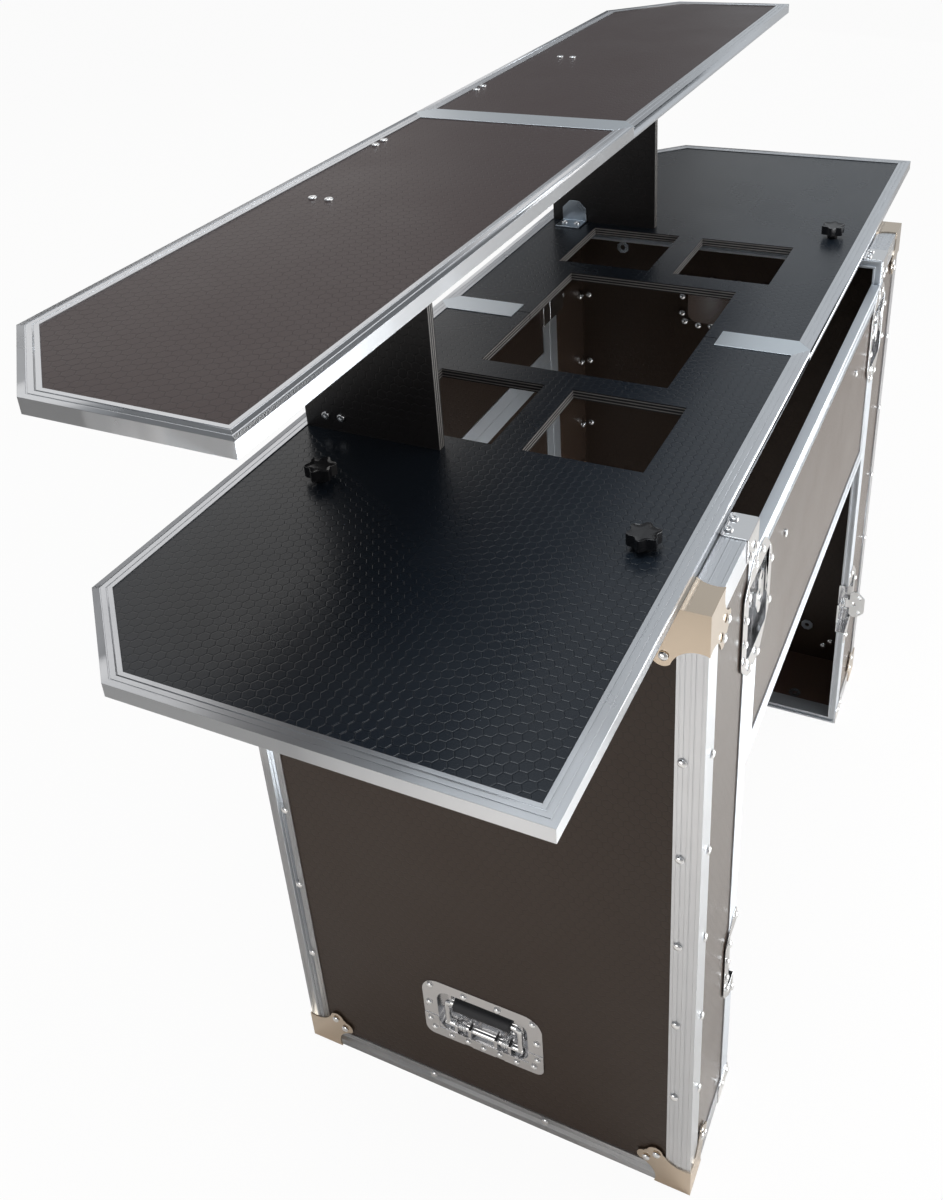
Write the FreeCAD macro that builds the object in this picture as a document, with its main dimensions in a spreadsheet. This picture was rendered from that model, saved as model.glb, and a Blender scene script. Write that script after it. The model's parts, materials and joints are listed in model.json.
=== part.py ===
import FreeCAD, Part
import math
import os
import re
import Sketcher

# Portable knock-down bar: two flight-case pedestals, a worktop with wells, a raised bar top,
# latched front and back panels. X runs along the bar, -Y is the customer side, +Z is up.

DOC = FreeCAD.newDocument("portable_bar")
V = FreeCAD.Vector

# Driving dimensions, millimetres
SIZES = [
    ("work_height", 900, "worktop surface above the floor"),
    ("worktop_length", 1600, "both halves together"),
    ("worktop_width", 504, "customer edge to bartender edge"),
    ("worktop_shift", -10, "worktop middle from the pedestals' middle plane"),
    ("bar_top_height", 1159, "raised top surface above the floor"),
    ("bar_top_length", 1584, "both halves together"),
    ("bar_top_width", 294, "customer edge to bartender edge"),
    ("bar_top_shift", -130, "bar top middle from the pedestals' middle plane"),
    ("corner_cut", 100, "customer corners cut at 45 degrees"),
    ("board_thick", 12, "ply of the tops and the supports"),
    ("edging_wall", 1.2, "edging and joint strip metal"),
    ("edging_width", 18, "edging flange over the board"),
    ("mitre_share", 0.41421356, "offset share of a 135 degree corner"),
    ("strip_width", 42, "joint strip across the seam"),
    ("strip_web", 1.6, "joint strip web between the boards"),
    ("well_length", 298, "large well along the bar"),
    ("well_width", 240, "large well across the bar"),
    ("well_margin", 18, "joint strip end to the large well"),
    ("pan_start", 187.5, "small wells from the seam"),
    ("pan_length", 148, "small wells along the bar"),
    ("pan_width", 137, "small wells across the bar"),
    ("pan_row", 86.5, "small well rows from the worktop middle line"),
    ("pedestal_reach", 521, "outer end of a corner cover from the middle"),
    ("seam_x", 353, "open face of a pedestal from the middle"),
    ("pedestal_width", 539, "over the edge angles"),
    ("panel_thick", 9, "ply of the pedestals and the panels"),
    ("wall", 1.5, "edge angle, rim and frame metal"),
    ("angle_width", 30, "edge angle leg"),
    ("rim_depth", 30, "rim channel over the panel edges"),
    ("rim_web", 5, "solid nose of the rim and of the panel ends"),
    ("frame_width", 26, "panel frame flange"),
    ("tongue_height", 3, "locating tongue of the near rim and far panel ends"),
    ("tongue_inset", 3.6, "outer skin to the tongue's side"),
    ("slip", 0.3, "running clearance between loose neighbours"),
    ("rib_width", 1.2, "fine rib groove"),
    ("rib_depth", 0.4, "fine rib groove"),
    ("cover_thick", 1.5, "corner cover sheet"),
    ("cover_leg", 43, "corner cover along an edge"),
    ("toe_far", 66.5, "corner cover toe from the corner"),
    ("toe_near", 38, "start of the toe"),
    ("toe_bevel", 7, "toe corner cut"),
    ("cove_near", 8, "cove centre from the edge"),
    ("cove_far", 71, "cove centre along the edge"),
    ("cove_radius", 28.5, "cove between leg and toe"),
    ("notch_place", 63, "notch between the toes, both ways"),
    ("notch_radius", 8, "notch between the toes"),
    ("brace_width", 43, "rim brace along the bar"),
    ("brace_leg", 30, "rim brace legs"),
    ("back_top", 848, "back panel upper edge"),
    ("back_low", 556, "back panel lower edge"),
    ("front_seam", 645, "joint between upper and lower front panels"),
    ("high_latch", 768, "upper latches above the floor"),
    ("low_latch", 255, "lower latches above the floor"),
    ("latch_plate", 1.2, "latch sheet"),
    ("latch_half_tall", 75, "half height of a latch plate"),
    ("latch_mech_reach", 68, "mechanism plate from the seam"),
    ("latch_catch_reach", 44, "catch plate from the seam"),
    ("latch_mech_cut", 36, "corner cut of the mechanism plate"),
    ("latch_catch_cut", 30, "corner cut of the catch plate"),
    ("dish_half_tall", 48, "half height of a latch dish"),
    ("dish_mech_reach", 56, "mechanism dish from the seam"),
    ("dish_catch_reach", 26, "catch dish from the seam"),
    ("dish_depth", 13, "latch dish depth"),
    ("spindle_place", 22, "spindle axis from the seam"),
    ("spindle_radius", 10, "spindle disc"),
    ("spindle_top", 6, "disc face below the plate's underside"),
    ("spindle_disc", 3.3, "disc thickness"),
    ("spindle_pin", 2, "spindle pin radius"),
    ("ear_place", 9, "inner face of a wing ear from the axis"),
    ("ear_thick", 2.5, "wing ear"),
    ("ear_half", 3, "half width of a wing ear"),
    ("ear_top", 1.2, "ear top below the plate's underside"),
    ("wing_hinge", 3.4, "wing axis below the plate's underside"),
    ("wing_pin", 1.3, "wing hinge pin radius"),
    ("wing_barrel", 2.4, "wing hinge barrel radius"),
    ("wing_thick", 2, "wing plate"),
    ("wing_reach", 30, "wing tip from its hinge"),
    ("wing_half", 26, "half width of the wing"),
    ("wing_neck", 5.5, "wide part starts this far from the hinge"),
    ("wing_neck_half", 7.5, "half width of the neck"),
    ("wing_cut", 12, "wing corner cut"),
    ("wing_hole", 4, "finger hole radius"),
    ("wing_hole_place", 21, "finger holes from the hinge"),
    ("wing_hole_row", 15, "finger holes from the middle"),
    ("wing_eye", 4.5, "middle hole radius"),
    ("wing_eye_place", 12, "middle hole from the hinge"),
    ("pin_fit", 0.05, "radial clearance of pins in bores"),
    ("hook_thick", 3, "draw hook"),
    ("hook_half", 18, "half width of the hook"),
    ("hook_arm", 4, "hook side arms"),
    ("hook_claw", 5, "hook end bar"),
    ("hook_tail", 38, "hook tail from the seam"),
    ("hook_travel", 8, "hook stroke"),
    ("striker_near", 6, "striker from the seam"),
    ("striker_thick", 3, "striker bar"),
    ("striker_height", 6, "striker above the dish floor"),
    ("striker_half", 12, "half width of the striker"),
    ("handle_low", 169, "lower handles above the floor"),
    ("handle_wide", 164, "handle plate"),
    ("handle_tall", 105, "handle plate"),
    ("handle_round", 14, "handle plate corner"),
    ("handle_plate", 1.2, "handle sheet"),
    ("tray_wide", 124, "handle dish"),
    ("tray_tall", 72, "handle dish"),
    ("tray_depth", 11.8, "handle dish"),
    ("tray_round", 10, "handle dish corner"),
    ("bail_wire", 4, "bail wire radius"),
    ("bail_half", 50, "bail leg from the middle"),
    ("bail_drop", 24, "bail pivot below the handle middle"),
    ("bail_rise", 40, "pivot to grip"),
    ("bail_sink", 3, "bail axis below the panel face"),
    ("lug_outer", 35, "outer pivot lugs from the middle"),
    ("lug_inner", 16, "inner pivot lugs from the middle"),
    ("lug_width", 4, "pivot lug along the rod"),
    ("lug_half", 6.5, "half height of a pivot lug"),
    ("grip_radius", 8.5, "rubber grip"),
    ("grip_half", 40, "half length of the grip"),
    ("near_knob", 462, "near knobs from the middle"),
    ("far_knob", 395, "far knobs from the middle"),
    ("customer_knob", 163, "knobs from the pedestals' middle plane"),
    ("bartender_knob", 189, "knobs from the pedestals' middle plane"),
    ("knob_radius", 15, "knob head, middle of its waved edge"),
    ("knob_wave", 2.4, "height of the waves round the edge"),
    ("knob_head", 13, "knob head height"),
    ("knob_hub", 7.5, "knob hub radius"),
    ("knob_hub_rise", 6, "hub height above the board"),
    ("stud_radius", 4, "clamping stud"),
    ("stud_hole", 4.6, "clearance hole for a stud"),
    ("nut_radius", 11, "claw nut flange"),
    ("nut_flange", 2, "claw nut flange thickness"),
    ("nut_wall", 182, "wall nuts from the pedestals' middle plane"),
    ("nut_wall_drop", 83, "wall nuts from the pedestal's top and bottom"),
    ("support_outer", 366.5, "outer face of a support from the middle"),
    ("support_width", 169, "support across the bar"),
    ("bracket_width", 40, "support bracket along the support"),
    ("bracket_leg", 34, "support bracket legs"),
    ("bracket_thick", 2.5, "support bracket"),
    ("bracket_start", 17, "support's customer end to its bracket"),
    ("bracket_cut", 12, "bracket corner cut"),
    ("bolt_spacing", 20, "pairs of bracket bolts"),
    ("bolt_offset", 18, "bolts from the bracket's corner"),
    ("bolt_head", 4.6, "bolt head radius"),
    ("bolt_rise", 2.6, "bolt head height"),
    ("bolt_slope", 38, "degrees from the head's sides to upright"),
    ("rivet_head", 4.3, "rivet head radius"),
    ("rivet_rise", 1.6, "rivet head height"),
    ("rivet_in", 22, "rivets from the outer edge of an angle"),
    ("rivet_pitch", 130.6, "rivets along the upright angles"),
    ("rivet_row", 80, "rivets of the level angles from the middle"),
    ("cover_rivet_far", 56, "cover rivets from the corner"),
    ("cover_rivet_near", 43, "cover rivets from the corner"),
    ("brace_bolt_in", 21, "brace bolts from the pedestal's side"),
    ("brace_rivet_in", 24, "brace rivets from the pedestal's top"),
    ("spring_wire", 0.7, "spring wire radius"),
    ("spring_coil", 5, "spring coil radius on the wire's middle"),
    ("spring_pitch", 1.9, "rise of one coil"),
    ("spring_start", 25, "first coil from the handle's middle"),
    ("seam_bolt", 136, "bolt pairs near the customer edge, from the seam"),
    ("seam_bolt_in", 25, "those bolts from the customer edge"),
    ("panel_bolt_x", 209, "back panel bolts from the middle"),
    ("panel_bolt_z", 773, "back panel bolts above the floor"),
]

# Places worked out from the driving dimensions
PLACES = [
    ("half_work", "worktop_length / 2"),
    ("half_top", "bar_top_length / 2"),
    ("edging_depth", "board_thick + 2 * edging_wall"),
    ("work_under", "work_height - edging_depth"),
    ("work_board_top", "work_height - edging_wall"),
    ("work_board_low", "work_board_top - board_thick"),
    ("bar_top_under", "bar_top_height - edging_depth"),
    ("bar_board_top", "bar_top_height - edging_wall"),
    ("bar_board_low", "bar_board_top - board_thick"),
    ("ped_half", "pedestal_width / 2"),
    ("wing_stand", "ped_half - wing_hinge + wing_reach"),
    ("customer_stand", "bar_top_width / 2 - bar_top_shift"),
    ("mid_y", "(customer_stand - wing_stand) / 2"),
    ("ped_back", "mid_y + ped_half"),
    ("ped_front", "mid_y - ped_half"),
    ("ped_low", "cover_thick"),
    ("ped_top", "work_under - cover_thick"),
    ("ped_end", "pedestal_reach - cover_thick"),
    ("skin", "panel_thick + 2 * wall"),
    ("work_mid", "mid_y + worktop_shift"),
    ("work_back", "work_mid + worktop_width / 2"),
    ("work_front", "work_mid - worktop_width / 2"),
    ("top_back", "mid_y + bar_top_shift + bar_top_width / 2"),
    ("top_front", "mid_y + bar_top_shift - bar_top_width / 2"),
    ("support_front", "work_front + edging_width + slip"),
    ("support_back", "support_front + support_width"),
    ("support_inner", "support_outer - board_thick"),
    ("handle_high", "ped_low + ped_top - handle_low"),
    ("handle_face", "ped_end - wall"),
]

ALIASES = {}


def fill_sheet(name, rows, formula):
    """Write rows of alias and value into a new sheet, and note where each alias lives."""
    sheet = DOC.addObject("Spreadsheet::Sheet", name)
    for index, row in enumerate(rows, start=1):
        text = str(row[1])
        sheet.set("A%d" % index, row[0])
        sheet.set("B%d" % index, "=" + bind(text) if formula else text)
        if len(row) > 2:
            sheet.set("C%d" % index, row[2])
        sheet.setAlias("B%d" % index, row[0])
        ALIASES[row[0]] = name + "." + row[0]
    DOC.recompute()
    return sheet


def bind(text):
    """Turn plain aliases in an expression into sheet references."""
    return re.sub(r"[a-z_]+", lambda word: ALIASES.get(word.group(0), word.group(0)), str(text))


SHEET = fill_sheet("Sizes", SIZES, False)
PLACE_SHEET = fill_sheet("Places", PLACES, True)


def number(text):
    """The present value of an expression."""
    return float(PLACE_SHEET.evalExpression(bind(text)))


def new_body(name):
    return DOC.addObject("PartDesign::Body", name)


def plane_of(body, plane):
    role = plane + "_Plane"
    return next(item for item in body.Origin.OriginFeatures if item.Role == role)


def new_sketch(body, plane, level):
    """Sketch on an origin plane of the body, moved to a level along the plane's normal."""
    sketch = body.newObject("Sketcher::SketchObject", body.Name + "_outline")
    sketch.AttachmentSupport = [(plane_of(body, plane), "")]
    sketch.MapMode = "FlatFace"
    sketch.setExpression("AttachmentOffset.Base.z", bind(level))
    return sketch


def add_loop(sketch, points):
    """Closed polygon whose corners are bound to pairs of expressions."""
    first = sketch.GeometryCount
    spots = [V(number(across), number(up), 0) for across, up in points]
    count = len(points)
    sketch.addGeometry([Part.LineSegment(spots[i], spots[(i + 1) % count]) for i in range(count)])
    sketch.addConstraint([
        Sketcher.Constraint("Coincident", first + i, 2, first + (i + 1) % count, 1)
        for i in range(count)])
    for i, (across, up) in enumerate(points):
        fixes = [("DistanceX", spots[i].x, across), ("DistanceY", spots[i].y, up)]
        for kind, value, text in fixes:
            place = sketch.addConstraint(Sketcher.Constraint(kind, -1, 1, first + i, 1, value))
            sketch.setExpression("Constraints[%d]" % place, bind(text))


def add_circle(sketch, across, up, radius):
    """Circle whose centre and radius are bound to expressions."""
    first = sketch.GeometryCount
    spot = V(number(across), number(up), 0)
    sketch.addGeometry(Part.Circle(spot, V(0, 0, 1), number(radius)))
    fixes = [
        (Sketcher.Constraint("DistanceX", -1, 1, first, 3, spot.x), across),
        (Sketcher.Constraint("DistanceY", -1, 1, first, 3, spot.y), up),
        (Sketcher.Constraint("Radius", first, number(radius)), radius)]
    for constraint, text in fixes:
        place = sketch.addConstraint(constraint)
        sketch.setExpression("Constraints[%d]" % place, bind(text))


def draw(sketch, loops, circles):
    for points in loops:
        add_loop(sketch, points)
    for across, up, radius in circles:
        add_circle(sketch, across, up, radius)


def pad(body, plane, low, high, loops=(), circles=()):
    """Add material between two levels along the world axis square to the plane."""
    level = "-(%s)" % high if plane == "XZ" else low
    sketch = new_sketch(body, plane, level)
    draw(sketch, loops, circles)
    feature = body.newObject("PartDesign::Pad", body.Name + "_pad")
    feature.Profile = sketch
    feature.Length = number("(%s) - (%s)" % (high, low))
    feature.setExpression("Length", bind("(%s) - (%s)" % (high, low)))
    return feature


def pocket(body, plane, low, high, loops=(), circles=()):
    """Take material away between two levels along the world axis square to the plane."""
    level = "-(%s)" % low if plane == "XZ" else high
    sketch = new_sketch(body, plane, level)
    draw(sketch, loops, circles)
    feature = body.newObject("PartDesign::Pocket", body.Name + "_pocket")
    feature.Profile = sketch
    feature.Length = number("(%s) - (%s)" % (high, low))
    feature.setExpression("Length", bind("(%s) - (%s)" % (high, low)))
    return feature


def prism(name, plane, low, high, loops=(), circles=()):
    body = new_body(name)
    pad(body, plane, low, high, loops, circles)
    return body


def rectangle(x_low, x_high, y_low, y_high):
    return [(x_low, y_low), (x_high, y_low), (x_high, y_high), (x_low, y_high)]


def polar(radius, angle):
    return ("(%s) * cos(%g deg)" % (radius, angle), "(%s) * sin(%g deg)" % (radius, angle))


def polygon(across, up, radius, sides, turn=0.5):
    """Corners of a regular polygon round a bound centre, first corner turned by part of a side."""
    angles = [360.0 * (i + turn) / sides for i in range(sides)]
    return [("%s + (%s) * cos(%g deg)" % (across, radius, angle),
             "%s + (%s) * sin(%g deg)" % (up, radius, angle)) for angle in angles]


def flats(radius, sides):
    """Corner radius of a polygon whose flats touch a circle."""
    return "(%s) / cos(%g deg)" % (radius, 180.0 / sides)


def block(name, x_low, x_high, y_low, y_high, z_low, z_high):
    """Part box between six bound planes."""
    box = DOC.addObject("Part::Box", name)
    for side, low, high in (("Length", x_low, x_high), ("Width", y_low, y_high),
                            ("Height", z_low, z_high)):
        box.setExpression(side, bind("(%s) - (%s)" % (high, low)))
    for axis, low in (("x", x_low), ("y", y_low), ("z", z_low)):
        box.setExpression("Placement.Base." + axis, bind(low))
    return box


def group(name, items):
    item = DOC.addObject("Part::Compound", name)
    item.Links = items
    return item


def cut(name, base, tools):
    item = DOC.addObject("Part::Cut", name)
    item.Base = base
    item.Tool = tools[0] if len(tools) == 1 else group(name + "_tools", tools)
    return item


def mirrored(name, source, normal, base_y=None):
    item = DOC.addObject("Part::Mirroring", name)
    item.Source = source
    item.Normal = V(*normal)
    if base_y is not None:
        item.setExpression("Base.y", bind(base_y))
    return item


def across_middle(name, source):
    """The same piece at the other end of the bar."""
    return mirrored(name, source, (1, 0, 0))


def across_pedestal(name, source):
    """The same piece on the other long side of the pedestals."""
    return mirrored(name, source, (0, 1, 0), "mid_y")


def placed(name, source, base, turns=()):
    """A linked copy at a bound place, turned about world axes in the order given."""
    item = DOC.addObject("App::Link", name)
    item.LinkedObject = source
    rotation = FreeCAD.Rotation()
    for axis, angle in turns:
        rotation = FreeCAD.Rotation(V(*axis), angle) * rotation
    item.Placement = FreeCAD.Placement(V(0, 0, 0), rotation)
    for axis, text in zip("xyz", base):
        item.setExpression("Placement.Base." + axis, bind(text))
    return item


NODES = []


def node(name, item):
    """Register a finished sub-part under its node name."""
    item.Label = name
    NODES.append(item)
    return item


def between(start, end, share):
    """Bound point part of the way from start to end, by a share."""
    return tuple("(%s) + ((%s) - (%s)) * (%s)" % (a, b, a, share) for a, b in zip(start, end))


RIB_SHARES = (0.34, 0.68)


def channel_bar(name, plane, low, high, outer, inner, web, flange, width, rib_face=None):
    """Mitred channel length: a solid outer web and two flanges, ribbed on one face.

    outer and inner are the two ends of the bar's outer and inner edge in the plane.
    """
    body = new_body(name)
    pad(body, plane, low, high, [[outer[0], outer[1], inner[1], inner[0]]])
    share = "(%s) / (%s)" % (web, width)
    inside = [between(outer[0], inner[0], share), between(outer[1], inner[1], share)]
    pocket(body, plane, "(%s) + (%s)" % (low, flange), "(%s) - (%s)" % (high, flange),
           [[inside[0], inside[1], inner[1], inner[0]]])
    if rib_face:
        ribs = rib_loops(outer, inner, width)
        if rib_face == "high":
            pocket(body, plane, "(%s) - rib_depth" % high, high, ribs)
        else:
            pocket(body, plane, low, "(%s) + rib_depth" % low, ribs)
    return body


def rib_loops(outer, inner, width):
    loops = []
    for rib_share in RIB_SHARES:
        near = str(rib_share)
        far = "%s + rib_width / (%s)" % (rib_share, width)
        loops.append([between(outer[0], inner[0], near), between(outer[1], inner[1], near),
                      between(outer[1], inner[1], far), between(outer[0], inner[0], far)])
    return loops


# Worktop and bar top

def half_outline(half, back, front, inset):
    """Corners of a near half, seam first, moved inwards by an inset."""
    slant = "(%s) * mitre_share" % inset
    return [
        ("%s - (%s)" % (half, inset), "%s - (%s)" % (back, inset)),
        ("%s - (%s)" % (half, inset), "%s + corner_cut + %s" % (front, slant)),
        ("%s - corner_cut - %s" % (half, slant), "%s + (%s)" % (front, inset))]


def edging_half(name, half, back, front, low, high):
    """Four mitred lengths round a near half, with the arrow mitres at the seam strip."""
    outer = [("0", back)] + half_outline(half, back, front, "0") + [("0", front)]
    inner = ([("strip_width / 2", "%s - edging_width" % back)]
             + half_outline(half, back, front, "edging_width")
             + [("strip_width / 2", "%s + edging_width" % front)])
    return [channel_bar("%s_%d" % (name, i), "XY", low, high, outer[i:i + 2], inner[i:i + 2],
                        "edging_wall", "edging_wall", "edging_width", "high")
            for i in range(4)]


def board_loop(half, back, front):
    corners = half_outline(half, back, front, "edging_wall")
    return ([("strip_web / 2", "%s - edging_wall" % back)] + corners
            + [("strip_web / 2", "%s + edging_wall" % front)])


def stud_holes(knob_x):
    return [polygon(knob_x, "mid_y + bartender_knob", "stud_hole", 10),
            polygon(knob_x, "mid_y - customer_knob", "stud_hole", 10)]


def worktop_board(name, side, knob_x):
    """Half board with half the large well and two small wells."""
    body = prism("half_" + name, "XY", "work_board_low", "work_board_top",
                 [board_loop("half_work", "work_back", "work_front")])
    wells = [rectangle("0", "well_length / 2", "work_mid - well_width / 2",
                       "work_mid + well_width / 2")]
    for row in ("work_mid - pan_row", "work_mid + pan_row"):
        wells.append(rectangle("pan_start", "pan_start + pan_length",
                               row + " - pan_width / 2", row + " + pan_width / 2"))
    pocket(body, "XY", "work_board_low", "work_board_top", wells + stud_holes(knob_x))
    return node(name, body if side > 0 else across_middle("far_side_board", body))


def strip_piece(name, low, high, start, end, tips):
    """Joint strip of H section; tips says which ends run out to a point in the edging."""
    half_strip = "strip_width / 2"
    loop = [("-" + half_strip, start), (half_strip, start), (half_strip, end), ("-" + half_strip, end)]
    if tips[0]:
        loop.insert(1, ("0", "%s - edging_width" % start))
    if tips[1]:
        loop.insert(-1, ("0", "%s + edging_width" % end))
    body = prism(name, "XY", low, "(%s) + edging_wall" % low, [loop])
    pad(body, "XY", low, high, [rectangle("-strip_web / 2", "strip_web / 2", start, end)])
    pad(body, "XY", "(%s) - edging_wall" % high, high, [loop])
    return body


def make_worktop():
    """Two ply halves with wells and their edging."""
    worktop_board("worktop_board_near", 1, "near_knob")
    worktop_board("worktop_board_far", -1, "far_knob")
    near = group("worktop_edging_half", edging_half(
        "work_edge", "half_work", "work_back", "work_front", "work_under", "work_height"))
    node("worktop_edging", group("work_edges", [near, across_middle("work_edges_far", near)]))


def make_strips():
    """Strips over the seams of the worktop and the bar top."""
    strips = [
        strip_piece("strip_customer", "work_under", "work_height", "work_front + edging_width",
                    "work_mid - well_width / 2 - well_margin", (True, False)),
        strip_piece("strip_bartender", "work_under", "work_height",
                    "work_mid + well_width / 2 + well_margin", "work_back - edging_width",
                    (False, True)),
        strip_piece("strip_top", "bar_top_under", "bar_top_height", "top_front + edging_width",
                    "top_back - edging_width", (True, True))]
    node("joint_strips", group("strips", strips))


def make_bar_top():
    """Two narrower ply halves and their edging."""
    near = prism("bar_top_board_near", "XY", "bar_board_low", "bar_board_top",
                 [board_loop("half_top", "top_back", "top_front")])
    node("bar_top_board_near", near)
    node("bar_top_board_far", across_middle("bar_board_far", near))
    half = group("bar_top_edging_half", edging_half(
        "top_edge", "half_top", "top_back", "top_front", "bar_top_under", "bar_top_height"))
    node("bar_top_edging", group("top_edges", [half, across_middle("top_edges_far", half)]))


# Supports between the tops

def bracket(name, bottom, upward):
    """Steel angle inside a support: one leg on the support, one on the board."""
    start = "support_front + bracket_start"
    end = start + " + bracket_width"
    sign = "+" if upward else "-"
    tip = "%s %s bracket_leg" % (bottom, sign)
    levels = (bottom, tip) if upward else (tip, bottom)
    body = new_body(name)
    loop = [(start, bottom), (end, bottom), (end, "%s %s (bracket_leg - bracket_cut)" % (bottom, sign)),
            (end + " - bracket_cut", tip), (start + " + bracket_cut", tip),
            (start, "%s %s (bracket_leg - bracket_cut)" % (bottom, sign))]
    pad(body, "YZ", "support_inner - bracket_thick", "support_inner", [loop])
    plate = (levels[0], "%s + bracket_thick" % bottom) if upward else (
        "%s - bracket_thick" % bottom, levels[1])
    pad(body, "XY", plate[0], plate[1],
        [rectangle("support_inner - bracket_leg", "support_inner", start, end)])
    return body


def fastener_form(name, radius, rise, sides):
    """Head of a bolt or rivet: a polygon drawn in towards its crown, standing on Z 0."""
    body = new_body(name)
    head = pad(body, "XY", "0", rise, [polygon("0", "0", radius, sides)])
    head.setExpression("TaperAngle", bind("-bolt_slope * 1 deg"))
    return body


def facing(direction):
    """Turns that take +Z to a world direction."""
    return {(0, 0, 1): [], (0, 0, -1): [((1, 0, 0), 180)], (1, 0, 0): [((0, 1, 0), 90)],
            (0, 1, 0): [((1, 0, 0), -90)], (0, -1, 0): [((1, 0, 0), 90)]}[direction]


def make_supports():
    board = block("support_near", "support_inner", "support_outer", "support_front", "support_back",
                  "work_board_top", "bar_board_low")
    node("support_boards", group("supports", [board, across_middle("support_far", board)]))
    pair = group("bracket_pair", [bracket("bracket_low", "work_board_top", True),
                                  bracket("bracket_high", "bar_board_low", False)])
    node("support_brackets", group("brackets", [pair, across_middle("brackets_far", pair)]))


def make_bolts():
    """Bolt heads of the brackets, the bar top, the back panel and the rim braces."""
    form = fastener_form("bolt_form", "bolt_head", "bolt_rise", 6)
    middle = "support_front + bracket_start + bracket_width / 2"
    spots = [("panel_bolt_x", "ped_back - wall", "panel_bolt_z", (0, 1, 0))]
    for sign in "-+":
        row = "%s %s bolt_spacing / 2" % (middle, sign)
        inside = "support_inner - bolt_offset"
        spots += [(inside, row, "bar_board_top", (0, 0, 1)),
                  (inside, row, "work_board_top + bracket_thick", (0, 0, 1)),
                  ("support_outer", row, "work_board_top + bolt_offset", (1, 0, 0)),
                  ("support_outer", row, "bar_board_low - bolt_offset", (1, 0, 0)),
                  ("seam_bolt %s bolt_spacing / 2" % sign, "top_front + seam_bolt_in",
                   "bar_board_top", (0, 0, 1)),
                  ("seam_x + wall + brace_width / 2 %s bolt_spacing / 2" % sign,
                   "ped_back - brace_bolt_in", "ped_top + cover_thick", (0, 0, 1))]
    node("bolt_heads", both_ends("bolts", form, spots))


def both_ends(name, form, spots):
    """Copies of a form standing at spots of the near end, and their mirror images."""
    items = [placed("%s_%d" % (name, i), form, spot[:3], facing(spot[3]))
             for i, spot in enumerate(spots)]
    near = group(name + "_near", items)
    return group(name, [near, across_middle(name + "_far", near)])


def make_rivets():
    """Rivet heads of the edge angles, the corner covers and the rim braces."""
    form = fastener_form("rivet_form", "rivet_head", "rivet_rise", 5)
    middle = "(ped_low + ped_top) / 2"
    heights = ["%s + %d * rivet_pitch" % (middle, step) for step in (-2, -1, 0, 1, 2)]
    spots = []
    for side, sign, out in (("ped_back", "-", (0, 1, 0)), ("ped_front", "+", (0, -1, 0))):
        cover_face = side + (" + cover_thick" if sign == "-" else " - cover_thick")
        for height in heights:
            spots.append(("ped_end", "%s %s rivet_in" % (side, sign), height, (1, 0, 0)))
            spots.append(("ped_end - rivet_in", side, height, out))
        for level, up in (("ped_top + cover_thick", "-"), ("ped_low - cover_thick", "+")):
            for far, near in (("cover_rivet_far", "cover_rivet_near"),
                              ("cover_rivet_near", "cover_rivet_far")):
                height = "%s %s %s" % (level, up, far)
                spots.append(("pedestal_reach", "%s %s %s" % (cover_face, sign, near), height,
                              (1, 0, 0)))
                spots.append(("pedestal_reach - " + near, cover_face, height, out))
        for level, up in (("ped_top", "-"), ("ped_low", "+")):
            spots.append(("ped_end", "mid_y %s rivet_row" % sign, "%s %s rivet_in" % (level, up),
                          (1, 0, 0)))
            for shift in "-+":
                spots.append(("seam_x + wall + brace_width / 2 %s bolt_spacing / 2" % shift,
                              cover_face, "%s %s brace_rivet_in" % (level, up), out))
    node("rivets", both_ends("rivet", form, spots))


# Pedestals

def ring(inset):
    """Corners of the pedestal's outline in Y and Z, moved inwards by an inset."""
    back, front = "ped_back - (%s)" % inset, "ped_front + (%s)" % inset
    low, high = "ped_low + (%s)" % inset, "ped_top - (%s)" % inset
    return [(back, low), (back, high), (front, high), (front, low)]


def ring_bars(outer_inset, inner_inset):
    """The four mitred sides between two insets of the outline."""
    outer, inner = ring(outer_inset), ring(inner_inset)
    return [[outer[i], outer[(i + 1) % 4], inner[(i + 1) % 4], inner[i]] for i in range(4)]


def latch_cutter(name, seam, height, bartender):
    """Clearance block for both halves of a latch dish."""
    room = "(latch_plate + slip)"
    depth = "(dish_depth + latch_plate + slip)"
    z_low = "%s - dish_half_tall - %s" % (height, room)
    z_high = "%s + dish_half_tall + %s" % (height, room)
    y_low, y_high = (("ped_back - " + depth, "ped_back + slip") if bartender
                     else ("ped_front - slip", "ped_front + " + depth))
    return block(name, "%s - dish_mech_reach - %s" % (seam, room),
                 "%s + dish_catch_reach + %s" % (seam, room), y_low, y_high, z_low, z_high)


LATCHES = [
    ("back_near_high", "seam_x", "high_latch", True),
    ("back_far_high", "-seam_x", "high_latch", True),
    ("back_far_low", "-seam_x", "low_latch", True),
    ("front_near_high", "seam_x", "high_latch", False),
    ("front_far_high", "-seam_x", "high_latch", False),
    ("front_far_low", "-seam_x", "low_latch", False),
    ("front_near_low", "seam_x", "low_latch", False),
]
LONE_CATCH = ("back_near_low", "seam_x", "low_latch", True)
LONE_MECHANISM = "back_far_low"


def latch_cutters(tag, bartender):
    return [latch_cutter("cutter_%s_%s" % (tag, name), seam, height, back)
            for name, seam, height, back in LATCHES + [LONE_CATCH] if back == bartender]


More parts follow.
